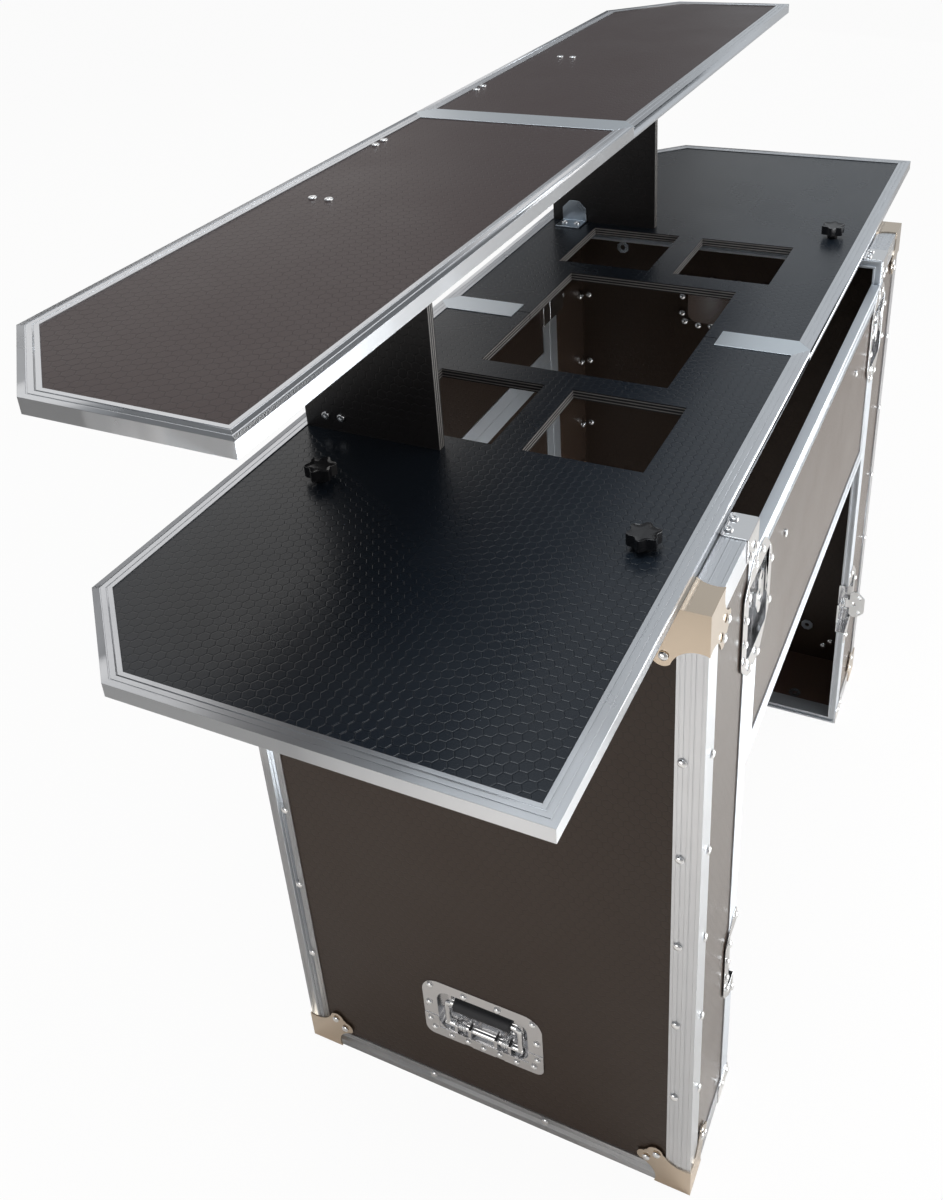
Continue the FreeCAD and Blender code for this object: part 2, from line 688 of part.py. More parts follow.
def make_pedestal_boards():
    """Five ply boards per pedestal, butted inside the edge angles."""
    inner_end = "ped_end - wall - panel_thick"
    front, back = "ped_front + wall", "ped_back - wall"
    low, high = "ped_low + wall", "ped_top - wall"
    end_near = block("end_near", inner_end, "ped_end - wall", front, back, low, high)
    trays = []
    for height in ("handle_low", "handle_high"):
        trays.append(block("tray_cut_" + height, inner_end + " - slip", "ped_end",
                           "mid_y - tray_wide / 2 - handle_plate - slip",
                           "mid_y + tray_wide / 2 + handle_plate + slip",
                           height + " - tray_tall / 2 - handle_plate - slip",
                           height + " + tray_tall / 2 + handle_plate + slip"))
    end = cut("end_board", end_near, trays)
    node("end_panels", group("ends", [end, across_middle("end_far", end)]))

    start = "seam_x + rim_web"
    tops = []
    for side, knob_x in (("near", "near_knob"), ("far", "far_knob")):
        body = prism("top_" + side, "XY", high + " - panel_thick", high,
                     [rectangle(start, inner_end, front, back)] + stud_holes(knob_x))
        tops.append(body if side == "near" else across_middle("top_far_side", body))
    node("top_panels", group("tops", tops))
    base = block("bottom_near", start, inner_end, front, back, low, low + " + panel_thick")
    node("bottom_panels", group("bottoms", [base, across_middle("bottom_far", base)]))

    sides = []
    for name, y_low, y_high, bartender in (
            ("bartender", back + " - panel_thick", back, True),
            ("customer", front, front + " + panel_thick", False)):
        side = block(name + "_near", start, inner_end, y_low, y_high,
                     low + " + panel_thick", high + " - panel_thick")
        both = group(name + "_both", [side, across_middle(name + "_far", side)])
        sides.append(cut(name + "_cut", both, latch_cutters(name, bartender)))
    node("side_panels", group("sides", sides))


def make_edge_angles():
    """Mitred angles round each end face, and the angles along the four depth edges."""
    pieces = []
    face = ring_bars("0", "angle_width")
    skin = ring_bars("0", "wall")
    for i in range(4):
        body = prism("end_angle_%d" % i, "YZ", "ped_end - wall", "ped_end", [face[i]])
        pad(body, "YZ", "ped_end - angle_width", "ped_end", [skin[i]])
        corners = ring("0")[i], ring("0")[(i + 1) % 4]
        inner = ring("angle_width")[i], ring("angle_width")[(i + 1) % 4]
        pocket(body, "YZ", "ped_end - rib_depth", "ped_end", rib_loops(corners, inner, "angle_width"))
        pieces.append(body)
    back, top = "ped_back", "ped_top"
    loop = [(back, top)]
    for rib_share in RIB_SHARES:
        start = "ped_back - %s * angle_width" % rib_share
        loop += [(start, top), (start, "ped_top - rib_depth"),
                 (start + " - rib_width", "ped_top - rib_depth"), (start + " - rib_width", top)]
    loop += [("ped_back - angle_width", top), ("ped_back - angle_width", "ped_top - wall"),
             ("ped_back - wall", "ped_top - wall"), ("ped_back - wall", "ped_top - angle_width"),
             (back, "ped_top - angle_width")]
    depth = prism("depth_angle", "YZ", "seam_x + rim_depth", "ped_end - angle_width", [loop])
    four = four_corners("depth", depth)
    near = group("angles_near", pieces + [four])
    node("edge_angles", group("angles", [near, across_middle("angles_far", near)]))


def four_corners(name, item):
    """A piece at the bartender side's top, and its images at the other three long edges."""
    upper = group(name + "_upper", [item, across_pedestal(name + "_customer", item)])
    lower = mirrored(name + "_lower", upper, (0, 0, 1))
    lower.setExpression("Base.z", bind("(ped_low + ped_top) / 2"))
    return group(name + "_four", [upper, lower])


def make_rims():
    """Channel round each open face: a tongue on the near one, a groove in the far one."""
    sides = []
    outer, inner = ring("0"), ring("skin")
    body_end = "seam_x + rim_depth"
    board = ring_bars("wall", "wall + panel_thick")
    tongue = ring_bars("tongue_inset", "skin - tongue_inset")
    groove = ring_bars("tongue_inset - slip", "skin - tongue_inset + slip")
    for side in ("near", "far"):
        bars = []
        for i in range(4):
            j = (i + 1) % 4
            body = prism("rim_%s_%d" % (side, i), "YZ", "seam_x", body_end,
                         [[outer[i], outer[j], inner[j], inner[i]]])
            pocket(body, "YZ", "seam_x + rim_web", body_end, [board[i]])
            if side == "near":
                pad(body, "YZ", "seam_x - tongue_height", "seam_x", [tongue[i]])
            else:
                pocket(body, "YZ", "seam_x", "seam_x + tongue_height + slip", [groove[i]])
            bars.append(body)
        frame = group("rim_" + side, bars)
        sides.append(frame if side == "near" else across_middle("rim_far_side", frame))
    both = group("rims", sides)
    tools = latch_cutters("rim_back", True) + latch_cutters("rim_front", False)
    node("rim_channels", cut("rims_cut", both, tools))


def cover_loop():
    """One face of a corner cover, from the corner inwards."""
    reach = "-toe_far"
    return [("cover_thick", "cover_thick"), ("-cover_leg", "cover_thick"), ("-cover_leg", "0"),
            (reach, "-toe_near"), (reach, "-toe_far + 3 * toe_bevel"),
            ("-toe_far + 3 * toe_bevel", reach), ("-toe_near", reach), ("0", "-cover_leg"),
            ("cover_thick", "-cover_leg")]


def make_covers():
    """Three-legged sheet corners on the end faces, one master turned into eight."""
    body = new_body("cover")
    loop = cover_loop()
    coves = [polygon("-cove_far", "-cove_near", "cove_radius", 10),
             polygon("-cove_near", "-cove_far", "cove_radius", 10),
             polygon("-notch_place", "-notch_place", "notch_radius", 8)]
    for plane in ("XY", "YZ", "XZ"):
        pad(body, plane, "0", "cover_thick", [loop])
    for plane in ("XY", "YZ", "XZ"):
        pocket(body, plane, "0", "cover_thick", coves)
    pieces = []
    turns = (0, 90, 180, 270)
    for side in (1, -1):
        for turn, (y_text, z_text) in zip(turns, (("ped_back", "ped_top"), ("ped_front", "ped_top"),
                                                  ("ped_front", "ped_low"), ("ped_back", "ped_low"))):
            steps = [((1, 0, 0), turn)]
            if side < 0:
                steps = [((0, 0, 1), 90), ((1, 0, 0), turn)]
            base = ("ped_end" if side > 0 else "-ped_end", y_text, z_text)
            pieces.append(placed("cover_%d_%d" % (side, turn), body, base, steps))
    node("corner_covers", group("covers", pieces))


def make_braces():
    """Folded braces over the corners of each rim."""
    end = "seam_x + wall + brace_width"
    side, over = "ped_back + cover_thick", "ped_top + cover_thick"
    loop = [(side, over), ("ped_back - brace_leg", over), ("ped_back - brace_leg", "ped_top"),
            ("ped_back", "ped_top"), ("ped_back", "ped_top - brace_leg"),
            (side, "ped_top - brace_leg")]
    brace = prism("brace", "YZ", "seam_x + wall", end, [loop])
    near = four_corners("brace", brace)
    node("rim_braces", group("braces", [near, across_middle("brace_far", near)]))


# Panels between the pedestals

def panel_frame(tag, low, high, y_low, y_high, rib_face):
    """Frame of four mitred channels: grooved at the near end, tongued at the far end."""
    half = "(seam_x - slip)"
    outer = [(half, low), (half, high), ("-" + half, high), ("-" + half, low)]
    inner = [(half + " - frame_width", low + " + frame_width"),
             (half + " - frame_width", high + " - frame_width"),
             ("-" + half + " + frame_width", high + " - frame_width"),
             ("-" + half + " + frame_width", low + " + frame_width")]
    bars = []
    for i in range(4):
        j = (i + 1) % 4
        web = "rim_web" if i in (0, 2) else "wall"
        bars.append(channel_bar("frame_%s_%d" % (tag, i), "XZ", y_low, y_high,
                                (outer[i], outer[j]), (inner[i], inner[j]), web, "wall",
                                "frame_width", rib_face))
    room_low, room_high = y_low + " + tongue_inset", y_high + " - tongue_inset"
    groove = [ring("tongue_inset - slip"), ring("skin - tongue_inset + slip")]
    for bar in (bars[0], bars[1], bars[3]):
        pocket(bar, "YZ", half + " - tongue_height - slip", half + " + slip", groove)
    pad(bars[2], "XY", low + " + rim_web", high + " - rim_web", [rectangle(
        "-" + half + " - tongue_height", "-" + half, room_low, room_high)])
    return bars


def panel_board(name, low, high, y_low, y_high):
    reach = "(seam_x - slip - rim_web)"
    return block(name, "-" + reach, reach, y_low + " + wall", y_high + " - wall",
                 low + " + wall", high + " - wall")


def make_panels():
    back = ("ped_back - skin", "ped_back")
    front = ("ped_front", "ped_front + skin")
    frames = panel_frame("back", "back_low", "back_top", back[0], back[1], "high")
    frames += panel_frame("upper", "front_seam + slip / 2", "ped_top", front[0], front[1], "low")
    frames += panel_frame("lower", "ped_low", "front_seam - slip / 2", front[0], front[1], "low")
    cutters = latch_cutters("frame_back", True) + latch_cutters("frame_front", False)
    node("panel_frames", cut("frames_cut", group("frames", frames), cutters))
    board = panel_board("back_board", "back_low", "back_top", back[0], back[1])
    node("back_panel_board", cut("back_cut", board, latch_cutters("back", True)))
    boards = []
    for name, low, high in (("upper", "front_seam + slip / 2", "ped_top"),
                            ("lower", "ped_low", "front_seam - slip / 2")):
        board = panel_board(name + "_board", low, high, front[0], front[1])
        boards.append(cut(name + "_cut", board, latch_cutters(name, False)))
    node("front_panel_boards", group("front_boards", boards))


# Butterfly latches, drawn with the seam at X 0, the outer face at Y 0 and the catch towards +X

def dish_half(name, reach, plate_reach, plate_cut, sign):
    """Half a latch dish: plate with cut corners, walls, floor, open towards the seam."""
    def at(text):
        return "%s (%s)" % (sign, text)
    body = new_body(name)
    edge = at("slip")
    loop = [(edge, "-latch_half_tall"), (at("%s - %s" % (plate_reach, plate_cut)), "-latch_half_tall"),
            (at(plate_reach), "-latch_half_tall + " + plate_cut),
            (at(plate_reach), "latch_half_tall - " + plate_cut),
            (at("%s - %s" % (plate_reach, plate_cut)), "latch_half_tall"), (edge, "latch_half_tall")]
    wall = "latch_plate"
    tall = "dish_half_tall"
    pad(body, "XZ", "0", wall, [loop])
    shell = [(edge, "-%s - %s" % (tall, wall)), (at("%s + %s" % (reach, wall)), "-%s - %s" % (tall, wall)),
             (at("%s + %s" % (reach, wall)), "%s + %s" % (tall, wall)), (edge, "%s + %s" % (tall, wall))]
    pad(body, "XZ", "-dish_depth - " + wall, "0", [shell])
    room = [("0", "-" + tall), (at(reach), "-" + tall), (at(reach), tall), ("0", tall)]
    pocket(body, "XZ", "-dish_depth", wall, [room])
    return body


def make_catch():
    body = dish_half("catch_form", "dish_catch_reach", "latch_catch_reach", "latch_catch_cut", "+")
    pad(body, "XZ", "-dish_depth", "-dish_depth + striker_height",
        [rectangle("striker_near", "striker_near + striker_thick", "-striker_half", "striker_half")])
    return body


def make_spindle():
    """Turning disc with its pin in the floor and two ears that hold the wing's hinge pin."""
    body = new_body("spindle_form")
    pad(body, "XZ", "-dish_depth + slip", "-spindle_top - spindle_disc",
        circles=[("0", "0", "spindle_pin")])
    pad(body, "XZ", "-spindle_top - spindle_disc", "-spindle_top",
        [polygon("0", "0", "spindle_radius", 12)])
    ears = [rectangle("-ear_half", "ear_half", "ear_place", "ear_place + ear_thick"),
            rectangle("-ear_half", "ear_half", "-ear_place - ear_thick", "-ear_place")]
    for loop in ears:
        pad(body, "XZ", "-spindle_top", "-ear_top", [loop])
    pad(body, "XY", "-ear_place", "ear_place", circles=[("0", "-wing_hinge", "wing_pin")])
    return body


def make_wing():
    """Butterfly wing, drawn flat with its hinge axis on the Z axis."""
    body = new_body("wing_form")
    neck, half = "-wing_neck", "wing_half"
    loop = [("0", "-wing_neck_half"), (neck, "-wing_neck_half"), (neck, "-wing_half + wing_neck"),
            (neck + " * 2", "-wing_half"), ("-wing_reach + wing_cut", "-wing_half"),
            ("-wing_reach", "-wing_half + wing_cut"), ("-wing_reach", "wing_half - wing_cut"),
            ("-wing_reach + wing_cut", half), (neck + " * 2", half),
            (neck, "wing_half - wing_neck"), (neck, "wing_neck_half"), ("0", "wing_neck_half")]
    holes = [polygon("-wing_hole_place", "wing_hole_row", "wing_hole", 8),
             polygon("-wing_hole_place", "-wing_hole_row", "wing_hole", 8),
             polygon("-wing_eye_place", "0", "wing_eye", 8)]
    pad(body, "XZ", "-wing_thick / 2", "wing_thick / 2", [loop] + holes)
    pad(body, "XY", "-wing_neck_half", "wing_neck_half", [polygon("0", "0", "wing_barrel", 8)])
    pocket(body, "XY", "-wing_neck_half", "wing_neck_half",
           [polygon("0", "0", flats("wing_pin + pin_fit", 8), 8)])
    return body


def make_hook():
    """Draw hook: a tail under the disc, two arms and an end bar behind the striker."""
    low = "-dish_depth + slip"
    inner = "striker_near + striker_thick + slip"
    body = prism("hook_form", "XZ", low, low + " + hook_thick",
                 [rectangle("-hook_tail", inner + " + hook_claw", "-hook_half", "hook_half")])
    window = rectangle(inner + " - striker_thick - hook_travel - 2 * slip", inner,
                       "-hook_half + hook_arm", "hook_half - hook_arm")
    slot = rectangle("-spindle_place - spindle_pin - hook_travel - slip",
                     "-spindle_place + spindle_pin + slip", "-spindle_pin - slip", "spindle_pin + slip")
    pocket(body, "XZ", low, low + " + hook_thick", [window, slot])
    return body


def make_latches():
    mechanism = dish_half("mechanism_form", "dish_mech_reach", "latch_mech_reach", "latch_mech_cut", "-")
    catch = make_catch()
    forms = (make_spindle(), make_hook(), make_wing())
    dishes, catches = [], []
    for name, seam, height, bartender in LATCHES:
        face = "ped_back" if bartender else "ped_front"
        turn = [] if bartender else [((1, 0, 0), 180)]
        sign = "-" if bartender else "+"
        dishes.append(placed("dish_" + name, mechanism, (seam, face, height), turn))
        if name != LONE_MECHANISM:
            catches.append(placed("catch_" + name, catch, (seam, face, height), turn))
        axis_x = seam + " - spindle_place"
        node("spindle_" + name, placed("spindle_" + name, forms[0], (axis_x, face, height), turn))
        node("hook_" + name, placed("hook_" + name, forms[1], (seam, face, height), turn))
        raised = [((0, 0, 1), -90)] if name == LONE_MECHANISM else []
        node("wing_" + name, placed("wing_" + name, forms[2],
                                    (axis_x, "%s %s wing_hinge" % (face, sign), height), raised + turn))
    catches.append(placed("catch_" + LONE_CATCH[0], catch, (LONE_CATCH[1], "ped_back", LONE_CATCH[2])))
    node("latch_dishes", group("dishes", dishes))
    node("latch_catches", group("catches", catches))


# Sprung carry handles, drawn with the plate's back on X 0 and facing +X

def make_handle_tray():
    """Pressed plate with a dish and two pivot lugs."""
    body = new_body("tray_form")
    half_w, half_t = "handle_wide / 2", "handle_tall / 2"
    inner_w, inner_t = "tray_wide / 2", "tray_tall / 2"
    wall = "handle_plate"
    pad(body, "YZ", "0", wall, [octagon(half_w, half_t, "handle_round")])
    pad(body, "YZ", "-tray_depth - " + wall, "0",
        [octagon(inner_w + " + " + wall, inner_t + " + " + wall, "tray_round")])
    pocket(body, "YZ", "-tray_depth", wall, [octagon(inner_w, inner_t, "tray_round")])
    low, high = "-bail_drop - lug_half", "-bail_drop + lug_half"
    lugs = [rectangle(start, start + " + lug_width", low, high) for start in (
        "lug_outer", "lug_inner", "-lug_inner - lug_width", "-lug_outer - lug_width")]
    pad(body, "YZ", "-tray_depth", "-bail_sink + lug_half", lugs)
    pocket(body, "XZ", "-lug_outer - lug_width", "lug_outer + lug_width",
           [polygon("-bail_sink", "-bail_drop", flats("bail_wire + pin_fit", 8), 8)])
    return body


def octagon(half_w, half_t, bevel):
    """Rectangle with rounded corners drawn as short bevels."""
    return [("-(%s) + %s" % (half_w, bevel), "-(%s)" % half_t), ("%s - %s" % (half_w, bevel), "-(%s)" % half_t),
            (half_w, "-(%s) + %s" % (half_t, bevel)), (half_w, "%s - %s" % (half_t, bevel)),
            ("%s - %s" % (half_w, bevel), half_t), ("-(%s) + %s" % (half_w, bevel), half_t),
            ("-(%s)" % half_w, "%s - %s" % (half_t, bevel)), ("-(%s)" % half_w, "-(%s) + %s" % (half_t, bevel))]


def make_bail():
    """Bent wire swept along two legs and the grip bar, closed by the rod that it turns on."""
    body = new_body("bail_form")
    path = body.newObject("Sketcher::SketchObject", "bail_path")
    path.AttachmentSupport = [(plane_of(body, "YZ"), "")]
    path.MapMode = "FlatFace"
    corners = [("-bail_half", "0"), ("-bail_half", "bail_rise"), ("bail_half", "bail_rise"),
               ("bail_half", "0")]
    add_path(path, corners)
    section = new_sketch(body, "XY", "0")
    add_loop(section, polygon("0", "-bail_half", flats("bail_wire", 8), 8))
    pipe = body.newObject("PartDesign::AdditivePipe", "bail_pipe")
    pipe.Profile = section
    pipe.Spine = (path, ["Edge%d" % (i + 1) for i in range(len(corners) - 1)])
    pipe.Transition = "Right corner"
    for low, high in (("-bail_half - bail_wire", "-lug_outer - lug_width - slip"),
                      ("lug_outer + lug_width + slip", "bail_half + bail_wire")):
        pad(body, "XZ", low, high, [polygon("0", "0", flats("bail_wire", 8), 8)])
    pad(body, "XZ", "-lug_outer - lug_width - slip", "lug_outer + lug_width + slip",
        circles=[("0", "0", "bail_wire")])
    return body


def add_path(sketch, corners):
    """Open run of lines between corners bound to pairs of expressions."""
    spots = [V(number(across), number(up), 0) for across, up in corners]
    lines = len(corners) - 1
    sketch.addGeometry([Part.LineSegment(spots[i], spots[i + 1]) for i in range(lines)])
    sketch.addConstraint([Sketcher.Constraint("Coincident", i, 2, i + 1, 1)
                          for i in range(lines - 1)])
    ends = [(i, 1) for i in range(lines)] + [(lines - 1, 2)]
    for (line, end), (across, up), spot in zip(ends, corners, spots):
        for kind, value, text in (("DistanceX", spot.x, across), ("DistanceY", spot.y, up)):
            place = sketch.addConstraint(Sketcher.Constraint(kind, -1, 1, line, end, value))
            sketch.setExpression("Constraints[%d]" % place, bind(text))


def biarc(start, start_way, end, end_way):
    """Two arcs that leave one point and reach another along given unit directions."""
    chord = end - start
    ways = start_way + end_way
    square = ways.dot(ways) - 4
    slope = chord.dot(ways)
    reach = (slope - (slope * slope - square * chord.dot(chord)) ** 0.5) / square
    first, last = start + start_way * reach, end - end_way * reach
    joint = (first + last) / 2
    return [arc_between(start, start_way, joint), arc_between(end, end_way * -1, joint)]


def arc_between(start, way, end):
    """Arc that leaves a point along a direction and ends at another point."""
    chord = end - start
    across = (chord - way * chord.dot(way)).normalize()
    radius = chord.dot(chord) / (2 * chord.dot(across))
    centre = start + across * radius
    half = ((start + end) / 2 - centre).normalize()
    return Part.Arc(start, centre + half * radius, end)


SPRING_TURNS = 1.5
SPRING_STEPS = 3


def make_spring():
    """Torsion spring round a pivot, whose two legs stand on the dish floor."""
    coil, pitch, start, wire, drop = [number(name) for name in (
        "spring_coil", "spring_pitch", "spring_start", "spring_wire", "tray_depth - bail_sink")]
    spots, ways = [], []
    for step in range(SPRING_STEPS + 1):
        turn = step * SPRING_TURNS / SPRING_STEPS
        sine, cosine = math.sin(2 * math.pi * turn), math.cos(2 * math.pi * turn)
        spots.append(V(coil * sine, start + pitch * turn, -coil * cosine))
        ways.append(V(coil * cosine, pitch / (2 * math.pi), coil * sine).normalize())
    ways[0], ways[-1] = V(1, 0, 0), V(-1, 0, 0)
    feet = [V(-drop, spot.y, spot.z) for spot in (spots[0], spots[-1])]
    edges = [Part.LineSegment(feet[0], spots[0])]
    for i in range(SPRING_STEPS):
        edges += biarc(spots[i], ways[i], spots[i + 1], ways[i + 1])
    edges.append(Part.LineSegment(spots[-1], feet[1]))
    path = Part.Wire([edge.toShape() for edge in edges])
    corners = [FreeCAD.Rotation(V(1, 0, 0), angle) * V(0, wire, 0) for angle in (0, 120, 240, 0)]
    section = Part.makePolygon([feet[0] + corner for corner in corners])
    spring = DOC.addObject("Part::Feature", "spring_form")
    spring.Shape = path.makePipeShell([section], True, False)
    print("spring gap %.2f mm" % (least_gap(path, coil) - 2 * wire))
    return spring


def least_gap(path, coil):
    """Least distance between points of the path more than a third of a turn apart."""
    step = coil / 10
    points = path.discretize(Distance=step)
    apart = int(2 * math.pi * coil / 3 / step)
    return min(points[i].distanceToPoint(points[j]) for i in range(len(points))
               for j in range(i + apart, len(points)))


def make_handles():
    tray = make_handle_tray()
    bail = make_bail()
    spring = make_spring()
    pair = group("spring_pair", [spring, mirrored("spring_other", spring, (0, 1, 0))])
    grip = prism("grip_form", "XZ", "-grip_half", "grip_half",
                 [polygon("0", "bail_rise", "grip_radius", 14),
                  polygon("0", "bail_rise", flats("bail_wire", 8), 8)])
    trays, springs = [], []
    for side, sign, turn in (("near", "", []), ("far", "-", [((0, 0, 1), 180)])):
        for level in ("low", "high"):
            height = "handle_" + level
            tag = "%s_%s" % (side, level)
            base = (sign + "handle_face", "mid_y", height)
            trays.append(placed("tray_" + tag, tray, base, turn))
            pivot = (sign + "(handle_face - bail_sink)", "mid_y", height + " - bail_drop")
            springs.append(placed("spring_" + tag, pair, pivot, turn))
            node("bail_" + tag, placed("bail_" + tag, bail, pivot, turn))
            node("grip_" + tag, placed("grip_" + tag, grip, pivot, turn))
    node("handle_trays", group("trays", trays))
    node("handle_springs", group("springs", springs))


# Clamping knobs and claw nuts

def make_knob_form():
    """Waved knob with its hub and stud, standing on Z 0."""
    body = new_body("knob_form")
    low, high = "knob_hub_rise", "knob_hub_rise + knob_head"
    waves, steps = 6, 30
    loop = [polar("knob_radius + knob_wave * cos(%g deg)" % (360.0 * waves * i / steps),
                  360.0 * i / steps) for i in range(steps)]
    pad(body, "XY", low, high, [loop])
    pad(body, "XY", "0", low, [polygon("0", "0", "knob_hub", 12)])
    pad(body, "XY", "-(work_board_top - ped_top + wall + panel_thick + nut_flange)", "0",
        circles=[("0", "0", "stud_radius")])
    return body


def make_nut_form():
    """Claw nut flange hanging below Z 0."""
    hole = polygon("0", "0", flats("stud_radius + pin_fit", 6), 6)
    return prism("nut_form", "XY", "-nut_flange", "0", [polygon("0", "0", "nut_radius", 8), hole])


def make_knobs():
    knob, claw = make_knob_form(), make_nut_form()
    nuts = []
    rows = (("customer", "mid_y - customer_knob"), ("bartender", "mid_y + bartender_knob"))
    for side, knob_x in (("near", "near_knob"), ("far", "-far_knob")):
        for name, row in rows:
            tag = "%s_%s" % (side, name)
            node("knob_" + tag, placed("knob_" + tag, knob, (knob_x, row, "work_board_top")))
            nuts.append(placed("nut_top_" + tag, claw, (knob_x, row, "ped_top - wall - panel_thick")))
            nuts.append(placed("nut_base_" + tag, claw, (knob_x, row, "ped_low + wall + panel_thick"),
                               [((1, 0, 0), 180)]))
        sign, angle = ("", 90) if side == "near" else ("-", -90)
        for row in ("mid_y - nut_wall", "mid_y + nut_wall"):
            for height in ("ped_low + nut_wall_drop", "ped_top - nut_wall_drop"):
                spot = (sign + "(ped_end - wall - panel_thick)", row, height)
                nuts.append(placed("nut_wall", claw, spot, [((0, 1, 0), angle)]))
    node("claw_nuts", group("nuts", nuts))


def check_and_write():
    """Stop on any failed object, then write one file per sub-part."""
    DOC.recompute()
    failed = [item.Name for item in DOC.Objects if "Invalid" in item.State or "Error" in item.State]
    if failed:
        raise RuntimeError("failed: " + ", ".join(failed[:12]))
    os.makedirs("parts", exist_ok=True)
    for item in NODES:
        shape = Part.getShape(item)
        if shape.isNull() or not shape.isValid() or not shape.Solids:
            raise RuntimeError("bad shape: " + item.Label)
    labels = [item.Label for item in NODES]
    if len(set(labels)) < len(labels):
        raise RuntimeError("two sub-parts share a name")
    for item in NODES:
        Part.getShape(item).exportStep("parts/%s.step" % item.Label)
    print("nodes", len(NODES), "solids", sum(len(Part.getShape(item).Solids) for item in NODES))


make_worktop()
make_strips()
make_bar_top()
make_supports()
make_bolts()
make_rivets()
make_pedestal_boards()
make_edge_angles()
make_rims()
make_covers()
make_braces()
make_panels()
make_latches()
make_handles()
make_knobs()
check_and_write()
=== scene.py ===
"""Looks of a portable bar made of flight-case parts.

Film-faced ply, ribbed edging and pressed hardware, modelled round the CAD model's nodes.
"""
import json
import logging
import math
from dataclasses import dataclass, field
from enum import Enum
from itertools import product
from typing import Callable, Iterable, Optional, Sequence

import bpy
from mathutils import Matrix, Vector

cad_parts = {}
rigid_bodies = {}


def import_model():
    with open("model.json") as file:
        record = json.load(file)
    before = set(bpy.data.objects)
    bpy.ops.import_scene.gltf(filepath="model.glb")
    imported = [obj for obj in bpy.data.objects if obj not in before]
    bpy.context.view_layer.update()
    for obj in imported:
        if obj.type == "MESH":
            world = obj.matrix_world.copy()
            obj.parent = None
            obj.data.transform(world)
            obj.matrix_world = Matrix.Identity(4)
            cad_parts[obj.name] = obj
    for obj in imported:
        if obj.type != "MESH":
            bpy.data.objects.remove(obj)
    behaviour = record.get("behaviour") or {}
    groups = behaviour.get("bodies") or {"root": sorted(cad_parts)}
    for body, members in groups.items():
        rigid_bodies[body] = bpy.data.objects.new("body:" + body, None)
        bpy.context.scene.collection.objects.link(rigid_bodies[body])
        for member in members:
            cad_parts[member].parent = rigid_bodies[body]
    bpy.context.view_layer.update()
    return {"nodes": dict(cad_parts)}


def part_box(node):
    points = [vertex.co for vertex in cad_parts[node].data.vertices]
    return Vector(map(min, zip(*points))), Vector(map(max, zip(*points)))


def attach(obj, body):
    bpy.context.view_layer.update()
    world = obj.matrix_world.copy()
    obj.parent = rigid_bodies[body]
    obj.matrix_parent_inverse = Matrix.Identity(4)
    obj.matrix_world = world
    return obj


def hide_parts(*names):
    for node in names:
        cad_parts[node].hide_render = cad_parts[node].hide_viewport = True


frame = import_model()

LOG = logging.getLogger("portable_bar")
MM = 0.001
Place = tuple[float, float, float]


class Plane(Enum):
    """The plane that a board's faces lie in."""

    LEVEL = ("X", "Y", "Z")
    END = ("Y", "Z", "X")
    LONG = ("X", "Z", "Y")


class Way(Enum):
    """The way that a fastener's head points."""

    UP = (0.0, 0.0, 1.0)
    DOWN = (0.0, 0.0, -1.0)
    NEAR = (1.0, 0.0, 0.0)
    FAR = (-1.0, 0.0, 0.0)
    BARTENDER = (0.0, 1.0, 0.0)
    CUSTOMER = (0.0, -1.0, 0.0)


class Term:
    """A number at one socket of a material, with Python's arithmetic."""

    def __init__(self, sheet: "NodeSheet", socket: bpy.types.NodeSocket) -> None:
        """Wrap a socket of a sheet."""
        self.sheet = sheet
        self.socket = socket

    def maths(self, operation: str, *others: object) -> "Term":
        """Add one Math node.

        Args:
            operation: the node's operation.
            others: the further values, as terms or numbers.

        Returns:
            The node's result.
        """
        node = self.sheet.add("ShaderNodeMath", {"operation": operation}, [self, *others])
        return Term(self.sheet, node.outputs[0])

    def __add__(self, other: object) -> "Term":
        """Sum."""
        return self.maths("ADD", other)

    __radd__ = __add__

    def __sub__(self, other: object) -> "Term":
        """Difference."""
        return self.maths("SUBTRACT", other)

    def __rsub__(self, other: float) -> "Term":
        """Difference from a number."""
        return (self * -1.0) + other

    def __mul__(self, other: object) -> "Term":
        """Product."""
        return self.maths("MULTIPLY", other)

    __rmul__ = __mul__

    def __truediv__(self, other: object) -> "Term":
        """Quotient."""
        return self.maths("DIVIDE", other)

    def __abs__(self) -> "Term":
        """Size without sign."""
        return self.maths("ABSOLUTE")

    def wrapped(self, period: float) -> "Term":
        """Distance from the nearest multiple of a period, with its sign."""
        return (self + period / 2).maths("FLOORED_MODULO", period) - period / 2

    def below(self, limit: object, soft: float) -> "Term":
        """One below a limit and zero above it.

        Args:
            limit: where the step lies.
            soft: width of the slope.

        Returns:
            The step, clamped.
        """
        slope = ((self * -1.0) + limit) / soft + 0.5
        node = self.sheet.add("ShaderNodeClamp", {}, [slope])
        return Term(self.sheet, node.outputs[0])


